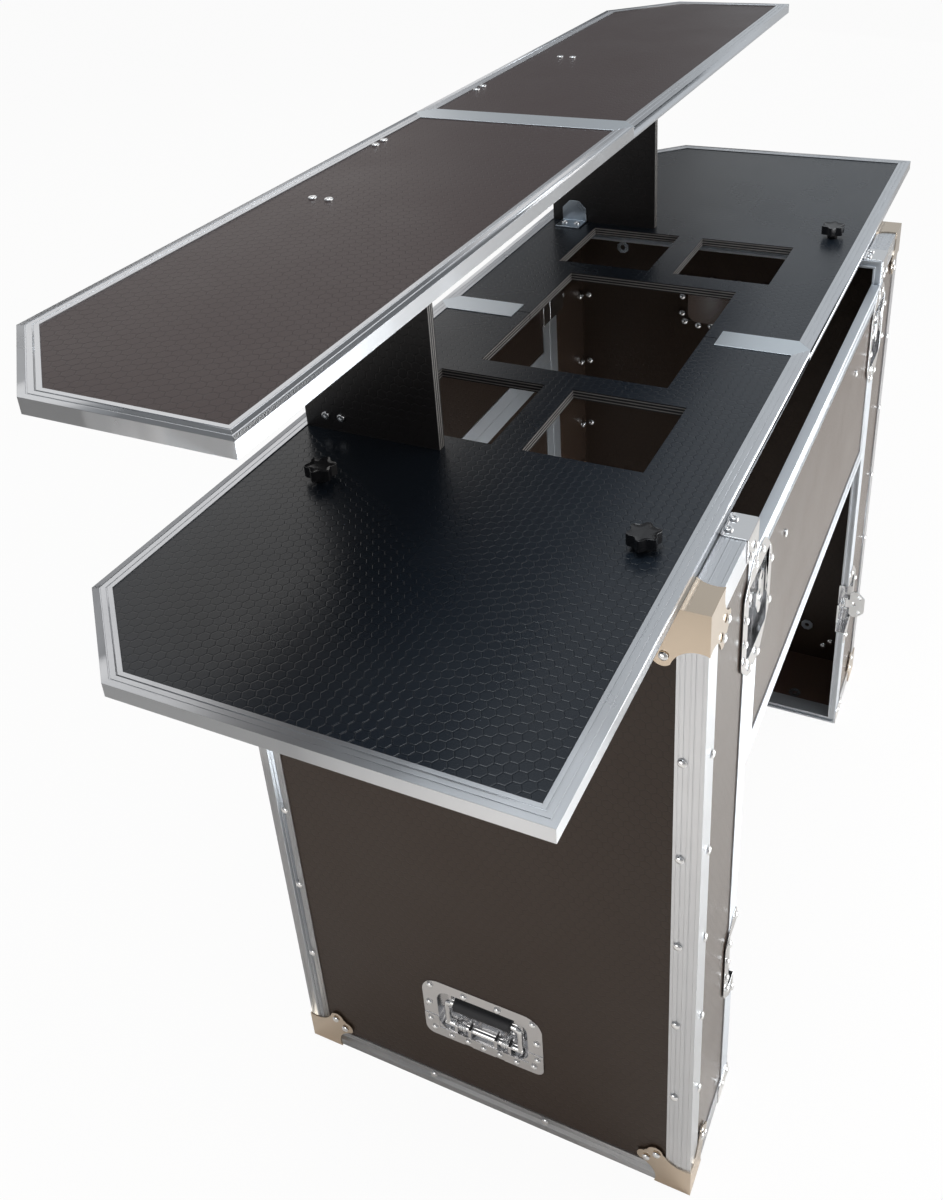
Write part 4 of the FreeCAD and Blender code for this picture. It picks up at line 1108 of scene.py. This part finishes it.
@dataclass
class Metalwork:
    """Edging, angles, channels and folded steel."""

    bench: Bench
    case: Case
    rounds: dict = field(default_factory=lambda: {
        "worktop_edging": (0.3, ALUMINIUM), "bar_top_edging": (0.3, ALUMINIUM),
        "joint_strips": (0.3, STRIP_ALUMINIUM), "rim_channels": (0.45, FRAME_ALUMINIUM),
        "panel_frames": (0.45, FRAME_ALUMINIUM), "rim_braces": (0.5, PLATE_CHROME),
        "support_brackets": (0.6, ZINC),
    })
    angle_round: float = 0.45
    brace_corner: float = 8 * MM
    brace_fold: float = 2.6 * MM

    def make(self) -> None:
        """Round the edges of each metal piece and finish it."""
        fluted = Fluted("fluted_aluminium", ALUMINIUM.colour, ALUMINIUM.rough, ALUMINIUM.cloud,
                        low=tuple(self.case.low), high=tuple(self.case.high))
        rounds = {**self.rounds, "edge_angles": (self.angle_round, fluted)}
        for node, (width, recipe) in rounds.items():
            item = self.bench.from_node(node, node + "_rounded")
            if node == "rim_braces":
                self.round_braces(item)
            self.bench.bevelled(item, width * MM)
            self.bench.keep(item, "frame", recipe, [node])
        self.bench.dress(frame["nodes"]["claw_nuts"], ZINC)

    def round_braces(self, item: bpy.types.Object) -> None:
        """Round the outer corners and the fold of the braces.

        Args:
            item: the braces.
        """
        thick = self.case.cover
        for axis in (1, 2):
            self.bench.round_corners(item, self.brace_corner, 5, 60.0,
                                     along(axis, thick * 0.9, thick * 1.1))
        outer = self.case.high + Vector((thick, thick, thick))
        inner = self.case.low - Vector((thick, thick, thick))

        def on_fold(spot: Vector) -> bool:
            """Whether a spot lies on an outer long edge of the box."""
            return all(min(abs(spot[axis] - outer[axis]), abs(spot[axis] - inner[axis])) < 1e-5
                       for axis in (1, 2))

        self.bench.round_corners(item, self.brace_fold, 4, 60.0,
                                 along(0, 10 * MM, 1.0, on_fold))


@dataclass
class Covers:
    """Pressed corner covers: three leaves with coves and lobed toes round the rivets."""

    bench: Bench
    case: Case
    side: float = 57 * MM
    toe: tuple[float, float, float] = (56 * MM, 43 * MM, 10.4 * MM)
    cove: tuple[float, float, float] = (71 * MM, 8 * MM, 28.5 * MM)
    notch: tuple[float, float] = (61.5 * MM, 8 * MM)
    fold: float = 0.6 * MM

    def disc(self, across: float, up: float, radius: float, tall: float) -> bpy.types.Object:
        """Round block through a leaf.

        Args:
            across: distance from the corner.
            up: distance the other way.
            radius: of the block.
            tall: its height.

        Returns:
            The block.
        """
        item = self.bench.cylinder("disc", radius, tall, 48)
        item.data.transform(Matrix.Translation((-across, -up, (self.case.cover - tall) / 2)))
        return item

    def leaf(self) -> bpy.types.Object:
        """Level leaf whose inner corner is the origin.

        Returns:
            The leaf with its toes, coves and notch.
        """
        bench, thick = self.bench, self.case.cover
        reach = self.side + thick
        item = bench.box("leaf", (reach, reach, thick),
                         (thick - reach / 2, thick - reach / 2, thick / 2))
        (far, near, lobe), (cove_far, cove_near, cove) = self.toe, self.cove
        notch_place, notch = self.notch
        tall = 3 * thick
        steps = (("UNION", self.disc(far, near, lobe, thick)),
                 ("UNION", self.disc(near, far, lobe, thick)),
                 ("DIFFERENCE", self.disc(cove_far, cove_near, cove, tall)),
                 ("DIFFERENCE", self.disc(cove_near, cove_far, cove, tall)),
                 ("DIFFERENCE", self.disc(notch_place, notch_place, notch, tall)))
        for operation, tool in steps:
            bench.modify(item, "BOOLEAN", operation=operation, object=tool, solver="EXACT")
            bench.drop(tool)
        return item

    def form(self) -> bpy.types.Object:
        """One cover: three leaves made one, with rounded folds.

        Returns:
            The cover at the corner of the positive sides.
        """
        bench = self.bench
        cycle = Matrix(((0, 0, 1, 0), (1, 0, 0, 0), (0, 1, 0, 0), (0, 0, 0, 1)))
        item = self.leaf()
        for turn in (cycle, cycle @ cycle):
            other = bench.copied(item, turn)
            other.name = "other_leaf"
            bench.modify(item, "BOOLEAN", operation="UNION", object=other, solver="EXACT")
            bench.drop(other)
        return bench.modify(item, "BEVEL", width=self.fold, segments=3, limit_method="ANGLE",
                            angle_limit=math.radians(50.0), use_clamp_overlap=True)

    def make(self) -> None:
        """Model the eight covers."""
        form = self.form()
        items = []
        for signs in product((-1.0, 1.0), repeat=3):
            corner = Vector([high if sign > 0 else low for sign, low, high
                             in zip(signs, self.case.low, self.case.high)])
            mirror = Matrix.Diagonal((*signs, 1.0))
            items.append(self.bench.copied(form, Matrix.Translation(corner) @ mirror))
        self.bench.drop(form)
        item = self.bench.smooth(self.bench.joined("corner_covers_pressed", items), 40.0)
        # The covers take the tan chrome, a painted warm reflection.
        self.bench.keep(item, "frame", CHROME_PAINTED_REFLECTION, ["corner_covers"])


@dataclass
class Knobs:
    """Clamping knobs with waved heads and a dished top."""

    bench: Bench
    rim: float = 4.5 * MM
    dish: float = 1.6 * MM
    edge: float = 1.3 * MM

    def make(self) -> None:
        """Dish and round the waved heads."""
        bench = self.bench
        for node in sorted(frame["nodes"]):
            if node.startswith("knob_"):
                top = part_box(node)[1][2]
                item = bench.from_node(node, node + "_rounded")
                bench.pick_faces(item, lambda centre, normal: normal.z > 0.99
                                 and centre.z > top - self.dish)
                bpy.ops.mesh.inset(thickness=self.rim, depth=-self.dish)
                bench.leave()
                bench.bevelled(item, self.edge, 3, 45.0)
                bench.keep(item, node, KNOB_BLACK, [node])


@dataclass
class Latches:
    """Butterfly draw latches, recessed in dishes across the seams."""

    bench: Bench
    fasteners: Fasteners
    case: Case
    axis_from_seam: float = 22 * MM
    plate: float = 1.2 * MM
    plate_corner: float = 9.0 * MM
    plate_edge: float = 0.45 * MM
    wing_corner: float = 1.4 * MM
    spindle_corner: float = 2.2 * MM
    small_edge: float = 0.35 * MM
    wing_edges: tuple[float, float] = (1.9 * MM, 2.1 * MM)
    spindle_edges: tuple[float, float] = (3.2 * MM, 3.4 * MM)
    head: float = 4.9 * MM
    rise: float = 2.0 * MM
    mechanism: tuple = ((-62, 27), (-62, -27), (-20, 66), (-20, -66))
    catch: tuple = ((36, 15), (36, -15), (31, 41), (31, -41), (8, 66), (8, -66))

    def make(self) -> None:
        """Model the plates, the wings, the discs and the rivets."""
        self.plates()
        self.wings()
        self.rivets()

    def plates(self) -> None:
        """Round the cut corners of the dishes' plates."""
        for node in ("latch_dishes", "latch_catches"):
            item = self.bench.from_node(node, node + "_rounded")
            corner = along(1, self.plate * 0.9, self.plate * 1.1)
            self.bench.round_corners(item, self.plate_corner, 5, 40.0, corner)
            self.bench.bevelled(item, self.plate_edge)
            self.bench.keep(item, "frame", PLATE_CHROME, [node])

    def wings(self) -> None:
        """Round the outlines and holes of the moving pieces."""
        for node in sorted(frame["nodes"]):
            kind = node.split("_")[0]
            if kind not in ("wing", "spindle", "hook"):
                continue
            item = self.bench.from_node(node, node + "_rounded")
            if kind == "wing":
                low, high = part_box(node)
                axis = 1 if high[1] - low[1] < high[0] - low[0] else 0
                self.bench.round_corners(item, self.wing_corner, 3, 30.0,
                                         along(axis, *self.wing_edges))
            elif kind == "spindle":
                self.bench.round_corners(item, self.spindle_corner, 3, 25.0,
                                         along(1, *self.spindle_edges))
            self.bench.bevelled(item, self.small_edge)
            self.bench.keep(item, node, STEEL, [node])

    def rivets(self) -> None:
        """Rivets of every latch half."""
        spots = []
        for node in sorted(frame["nodes"]):
            if not node.startswith("spindle_"):
                continue
            low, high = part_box(node)
            seam, level = (low[0] + high[0]) / 2 + self.axis_from_seam, (low[2] + high[2]) / 2
            bartender = "_back_" in node
            lone = node.endswith("back_far_low")
            spots += self.half_spots(self.mechanism, seam, level, bartender)
            spots += self.half_spots(self.catch, -seam if lone else seam, level, bartender)
        form = self.fasteners.dome(self.head, self.rise)
        self.fasteners.set_heads("latch_rivets", form, spots)
        depth = self.case.panel + self.case.wall + self.plate
        tails = [spot.sunk(depth) for spot in spots
                 if abs(spot.place.x) > self.fasteners.rim_reach]
        self.fasteners.set_heads("latch_rivet_tails", self.fasteners.tail_form(), tails)

    def half_spots(self, places: Sequence[tuple], seam: float, level: float,
                   bartender: bool) -> list[Spot]:
        """Spots on one half of a latch.

        Args:
            places: millimetres from the seam and from the latch's middle.
            seam: X of the seam.
            level: Z of the latch's middle.
            bartender: whether it lies on the bartender's side.

        Returns:
            The spots.
        """
        face = self.case.high.y + self.plate if bartender else self.case.low.y - self.plate
        way = Way.BARTENDER if bartender else Way.CUSTOMER
        return [Spot(Vector((seam + across * MM, face, level + up * MM)), way)
                for across, up in places]


@dataclass
class Handles:
    """Recessed sprung handles: dish, hinge plate, round bail, rubber grip and springs."""

    bench: Bench
    fasteners: Fasteners
    wire: float = 4 * MM
    half: float = 50 * MM
    rise: float = 40 * MM
    bend: float = 7 * MM
    pivot_drop: float = 24 * MM
    pivot_depth: float = 4.2 * MM
    plate_wide: float = 164 * MM
    plate_tall: float = 105 * MM
    dish_wide: float = 124 * MM
    dish_tall: float = 72 * MM
    seam_drop: float = 15 * MM
    hinge_thick: float = 0.7 * MM
    plate_thick: float = 1.2 * MM
    corner: float = 12 * MM
    scallop: float = 22 * MM
    scallop_size: tuple[float, float] = (12 * MM, 3 * MM)
    scallop_round: float = 1.4 * MM
    hinge_edge: float = 0.2 * MM
    tray_edge: float = 0.5 * MM
    rod_edge: float = 0.8 * MM
    grip_edge: float = 1.4 * MM
    coil: float = 5 * MM
    coil_wire: float = 0.75 * MM
    coil_start: float = 24.6 * MM
    coil_turns: float = 3.5
    coil_pitch: float = 2.3 * MM
    foot: float = 8.8 * MM
    grip_radius: float = 8.4 * MM
    grip_long: float = 78 * MM
    dish_depth: float = 13 * MM
    rivet_radii: Place = (4.7 * MM, 4.2 * MM, 2.6 * MM)
    rivet_rise: float = 0.45
    upper_rivets: tuple = ((-70, 42), (-23, 43), (23, 43), (70, 42), (-74, 7), (74, 7))
    lower_rivets: tuple = ((-74, -24), (74, -24), (-69, -39), (69, -39), (-45, -44), (-22, -43),
                           (0, -44), (22, -43), (45, -44))
    small_rivets: tuple = ((-37, -11), (-18, -11), (18, -11), (37, -11))
    tray_rounds: tuple = ((9.6, 6, 40.0, 0, 1.1, 1.3), (6.6, 4, 40.0, 0, 8, 14),
                          (5.5, 4, 80.0, 1, 3.9, 4.1))

    def places(self) -> dict[str, Matrix]:
        """Move that takes a handle drawn about its plate's face to each of the four.

        Returns:
            The move for each handle's tag.
        """
        found = {}
        for node in sorted(frame["nodes"]):
            if node.startswith("bail_"):
                low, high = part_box(node)
                side = 1.0 if low[0] > 0 else -1.0
                pivot = Vector(((low[0] + high[0]) / 2, (low[1] + high[1]) / 2,
                                high[2] - self.rise - (high[0] - low[0]) / 2))
                face = pivot + Vector((side * self.pivot_depth, 0.0, self.pivot_drop))
                turn = Matrix.Rotation(0.0 if side > 0 else math.pi, 4, "Z")
                found[node[5:]] = Matrix.Translation(face) @ turn
        return found

    def make(self) -> None:
        """Model the four handles."""
        places = self.places()
        self.trays()
        everywhere = list(places.values())
        self.spread("handle_hinge_plates", self.hinge_plate(), everywhere, PLATE_CHROME)
        coils = [place @ flip for place in everywhere
                 for flip in (Matrix.Identity(4), Matrix.Scale(-1.0, 4, (0.0, 1.0, 0.0)))]
        self.spread("handle_coils", self.spring(), coils, STEEL, ["handle_springs"])
        self.rivets(everywhere)
        bail, grip = self.bail(), self.grip()
        for tag, place in places.items():
            for form, kind, recipe in ((bail, "bail_", STEEL), (grip, "grip_", RUBBER)):
                item = self.bench.copied(form, place)
                item.name = kind + tag + "_round"
                self.bench.keep(item, "handle_" + tag, recipe, [kind + tag])
        self.bench.drop(bail)
        self.bench.drop(grip)

    def spread(self, name: str, form: bpy.types.Object, places: Sequence[Matrix],
               recipe: object, nodes: Iterable[str] = ()) -> None:
        """Copy a form to places and join the copies.

        Args:
            name: the piece.
            form: the form, dropped afterwards.
            places: moves of the copies.
            recipe: their finish.
            nodes: CAD nodes that they stand for.
        """
        items = [self.bench.copied(form, place) for place in places]
        self.bench.drop(form)
        item = self.bench.smooth(self.bench.joined(name, items), 45.0)
        self.bench.keep(item, "frame", recipe, nodes)

    def trays(self) -> None:
        """Round the dishes' corners and the pivot lugs."""
        item = self.bench.from_node("handle_trays", "handle_trays_rounded")
        for width, steps, least, axis, shortest, longest in self.tray_rounds:
            self.bench.round_corners(item, width * MM, steps, least,
                                     along(axis, shortest * MM, longest * MM))
        self.bench.bevelled(item, self.tray_edge)
        self.bench.keep(item, "frame", PLATE_CHROME, ["handle_trays"])

    def hinge_plate(self) -> bpy.types.Object:
        """Thin lower plate round the bottom half of the dish, with two scallops.

        Returns:
            The plate.
        """
        bench, thick = self.bench, self.hinge_thick
        tall = self.plate_tall / 2 - self.seam_drop
        item = bench.box("hinge_plate", (thick, self.plate_wide, tall),
                         (thick / 2, 0.0, -self.seam_drop - tall / 2))
        bottom = -self.plate_tall / 2
        bench.round_corners(item, self.corner, 6, 60.0,
                            along(0, thick * 0.9, thick * 1.1, lambda spot: spot.z < bottom + MM))
        cutters = [bench.box("dish", (4 * thick, self.dish_wide, self.dish_tall), (0.0, 0.0, 0.0))]
        for side in (-1, 1):
            cutters.append(bench.box("scallop", (4 * thick, *self.scallop_size),
                                     (0.0, side * self.scallop, bottom)))
            bench.round_corners(cutters[-1], self.scallop_round, 3, 60.0,
                                along(0, thick, 5 * thick))
        for cutter in cutters:
            bench.modify(item, "BOOLEAN", operation="DIFFERENCE", object=cutter, solver="EXACT")
            bench.drop(cutter)
        return bench.bevelled(item, self.hinge_edge)

    def bail(self) -> bpy.types.Object:
        """Bent wire: up one leg, along the grip and down the other, with the rod below.

        Returns:
            The wire with its rod.
        """
        bench, bend = self.bench, self.bend
        pivot = Vector((-self.pivot_depth, 0.0, -self.pivot_drop))
        straight = self.rise - bend
        start = pivot + Vector((0.0, -self.half, 0.0))
        top = start + Vector((0.0, bend, straight))
        moves = [Vector((0.0, 0.0, straight)), (math.pi / 2, top),
                 Vector((0.0, 2 * (self.half - bend), 0.0)),
                 (math.pi / 2, top + Vector((0.0, 2 * (self.half - bend), 0.0))),
                 Vector((0.0, 0.0, -straight))]
        item = bench.bent_wire("bail", self.wire, start, moves)
        rod = bench.cylinder("rod", self.wire, 2 * (self.half + self.wire), 20)
        rod.data.transform(Matrix.Translation(pivot) @ Matrix.Rotation(math.pi / 2, 4, "X")
                           @ Matrix.Translation((0.0, 0.0, -self.half - self.wire)))
        bench.bevelled(rod, self.rod_edge, 3, 60.0)
        return bench.smooth(bench.joined("bail", [item, rod]))

    def grip(self) -> bpy.types.Object:
        """Rubber sleeve with rounded ends.

        Returns:
            The sleeve.
        """
        bench = self.bench
        item = bench.cylinder("grip", self.grip_radius, self.grip_long, 32)
        bench.bevelled(item, self.grip_edge, 3, 60.0)
        place = Vector((-self.pivot_depth, 0.0, self.rise - self.pivot_drop))
        item.data.transform(Matrix.Translation(place) @ Matrix.Rotation(math.pi / 2, 4, "X")
                            @ Matrix.Translation((0.0, 0.0, -self.grip_long / 2)))
        return item

    def spring(self) -> bpy.types.Object:
        """Coil round the rod whose two legs stand on the dish floor.

        Returns:
            The spring at one lug.
        """
        bench = self.bench
        bench.clear()
        bpy.ops.mesh.primitive_circle_add(vertices=8, radius=self.coil_wire,
                                          rotation=(0.0, math.pi / 2, 0.0),
                                          location=(0.0, self.coil_start, -self.coil))
        item = bench.baked(bench.started("coil"))
        steps = round(20 * self.coil_turns)
        bench.modify(item, "SCREW", axis="Y", angle=-2 * math.pi * self.coil_turns, steps=steps,
                     render_steps=steps, screw_offset=self.coil_pitch * self.coil_turns,
                     use_merge_vertices=False, use_smooth_shade=True)
        bench.edit(item, "VERT")
        bpy.ops.object.mode_set(mode="EDIT")
        bpy.ops.mesh.select_non_manifold()
        bpy.ops.mesh.extrude_edges_move(TRANSFORM_OT_translate={"value": (-self.foot, 0.0, 0.0)})
        bench.leave()
        item = bench.closed(item)
        item.data.transform(Matrix.Translation((-self.pivot_depth, 0.0, -self.pivot_drop)))
        return bench.smooth(item, 50.0)

    def rivets(self, places: Sequence[Matrix]) -> None:
        """Rivets of the plates, and small ones above the lugs.

        Args:
            places: moves of the handles.
        """
        kinds = (("handle_upper_rivets", self.upper_rivets, 0.0),
                 ("handle_lower_rivets", self.lower_rivets, self.hinge_thick),
                 ("handle_small_rivets", self.small_rivets, -self.dish_depth))
        for (name, rows, level), radius in zip(kinds, self.rivet_radii):
            form = self.fasteners.dome(radius, radius * self.rivet_rise)
            heads = [place @ Spot(Vector((level, across * MM, up * MM)), Way.NEAR).matrix
                     for place in places for across, up in rows]
            self.spread(name, form, heads, STEEL)
        inside = -self.plate_thick - self.fasteners.case.panel
        tails = [place @ Spot(Vector((inside, across * MM, up * MM)), Way.FAR).matrix
                 for place in places for across, up in self.upper_rivets + self.lower_rivets]
        self.spread("handle_rivet_tails", self.fasteners.tail_form(), tails, STEEL)


@dataclass(frozen=True)
class Lamp:
    """Soft square lamp, its power in watts and its size in metres."""

    name: str
    place: Place
    aim: Place
    power: float
    size: float
    colour: Place

    def make(self) -> None:
        """Hang the lamp, out of the camera's sight."""
        data = bpy.data.lights.new(self.name, "AREA")
        data.color = self.colour
        data.energy = self.power
        data.shape = "SQUARE"
        data.size = self.size
        lamp = bpy.data.objects.new(self.name, data)
        lamp.location = self.place
        lamp.visible_camera = False
        way = Vector(self.aim) - Vector(self.place)
        lamp.rotation_euler = way.to_track_quat("-Z", "Y").to_euler()
        bpy.context.collection.objects.link(lamp)


WARM = (1.0, 0.96, 0.92)
SKY = (0.9, 0.96, 1.0)
BAR_MIDDLE = (0.0, 0.0, 0.9)
LAMPS = (
    Lamp("far_wall", (-4.5, 1.3, 2.8), BAR_MIDDLE, 36.0, 6.0, SKY),
    Lamp("window", (-2.6, -3.4, 3.2), BAR_MIDDLE, 22.0, 3.5, WARM),
    Lamp("bartender_side", (-0.6, 3.2, 1.5), (0.2, 0.0, 0.6), 62.0, 3.4, WARM),
    Lamp("knee_space", (-0.15, 1.4, 0.35), (0.0, -0.2, 0.6), 24.0, 1.0, SKY),
    Lamp("overhead", (0.4, -0.2, 3.6), BAR_MIDDLE, 55.0, 2.0, SKY),
    Lamp("near_floor", (1.35, -0.1, 0.6), (0.6, -0.08, 0.0), 2.7, 0.6, WARM),
)


@dataclass
class Studio:
    """Floor, lights and camera."""

    bench: Bench
    camera_place: Place = (1.32923, 0.47535, 1.54190)
    camera_turn: Place = (1.07369861, 0.05534511, 2.00922664)
    lens: float = 35.767
    sensor: float = 36.0
    shift: tuple[float, float] = (-0.021641, -0.155695)
    floor_size: float = 60.0
    floor_tint: Place = (0.78, 0.74, 0.70)
    floor_white: float = 0.95
    air: tuple[float, float, float, float] = (0.95, 0.97, 1.0, 1.0)
    air_light: float = 0.3

    def floor(self) -> None:
        """Pale floor that the camera sees as white."""
        self.bench.clear()
        bpy.ops.mesh.primitive_plane_add(size=self.floor_size)
        floor = self.bench.started("studio_floor")
        sheet = NodeSheet("studio_floor")
        sheet.finish(Base_Color=self.floor_tint, Roughness=0.9, Specular_IOR_Level=0.1)
        paths = sheet.add("ShaderNodeLightPath", {}, [])
        seen = Term(sheet, paths.outputs["Is Camera Ray"])
        glow = sheet.add("ShaderNodeEmission", {}, {"Color": (1.0, 1.0, 1.0), "Strength": 1.0})
        blend = sheet.add("ShaderNodeMixShader", {}, [
            seen * self.floor_white, sheet.shader.outputs[0], glow.outputs[0]])
        out = next(node for node in sheet.nodes if node.type == "OUTPUT_MATERIAL")
        sheet.links.new(blend.outputs[0], out.inputs["Surface"])
        floor.data.materials.append(sheet.material)

    def world(self) -> None:
        """White surroundings for the camera, plain grey light for the object."""
        world = bpy.data.worlds.new("studio")
        bpy.context.scene.world = world
        world.use_nodes = True
        nodes, links = world.node_tree.nodes, world.node_tree.links
        back = nodes["Background"]
        back.inputs["Color"].default_value = self.air
        back.inputs["Strength"].default_value = self.air_light
        white = nodes.new("ShaderNodeBackground")
        white.inputs["Color"].default_value = (1.0, 1.0, 1.0, 1.0)
        white.inputs["Strength"].default_value = 1.0
        paths = nodes.new("ShaderNodeLightPath")
        mix = nodes.new("ShaderNodeMixShader")
        links.new(paths.outputs["Is Camera Ray"], mix.inputs[0])
        links.new(back.outputs[0], mix.inputs[1])
        links.new(white.outputs[0], mix.inputs[2])
        links.new(mix.outputs[0], nodes["World Output"].inputs["Surface"])

    def camera(self) -> None:
        """Camera at the photograph's place."""
        data = bpy.data.cameras.new("view")
        data.lens = self.lens
        data.sensor_width = self.sensor
        data.shift_x, data.shift_y = self.shift
        camera = bpy.data.objects.new("view", data)
        camera.location = self.camera_place
        camera.rotation_euler = self.camera_turn
        bpy.context.collection.objects.link(camera)
        bpy.context.scene.camera = camera

    def make(self) -> None:
        """Set up the studio."""
        self.floor()
        self.world()
        for lamp in LAMPS:
            lamp.make()
        self.camera()
        bpy.context.scene.view_settings.view_transform = "Standard"


def main() -> None:
    """Build the looks of the bar, in order."""
    logging.basicConfig(level=logging.INFO, format="%(message)s")
    bench = Bench(Finishes())
    case = Case()
    Boards(bench).make()
    fasteners = Fasteners(bench, case)
    Metalwork(bench, case).make()
    Covers(bench, case).make()
    fasteners.make()
    Knobs(bench).make()
    Latches(bench, fasteners, case).make()
    Handles(bench, fasteners).make()
    Studio(bench).make()
    bench.clear()


if __name__ == "__main__":
    main()
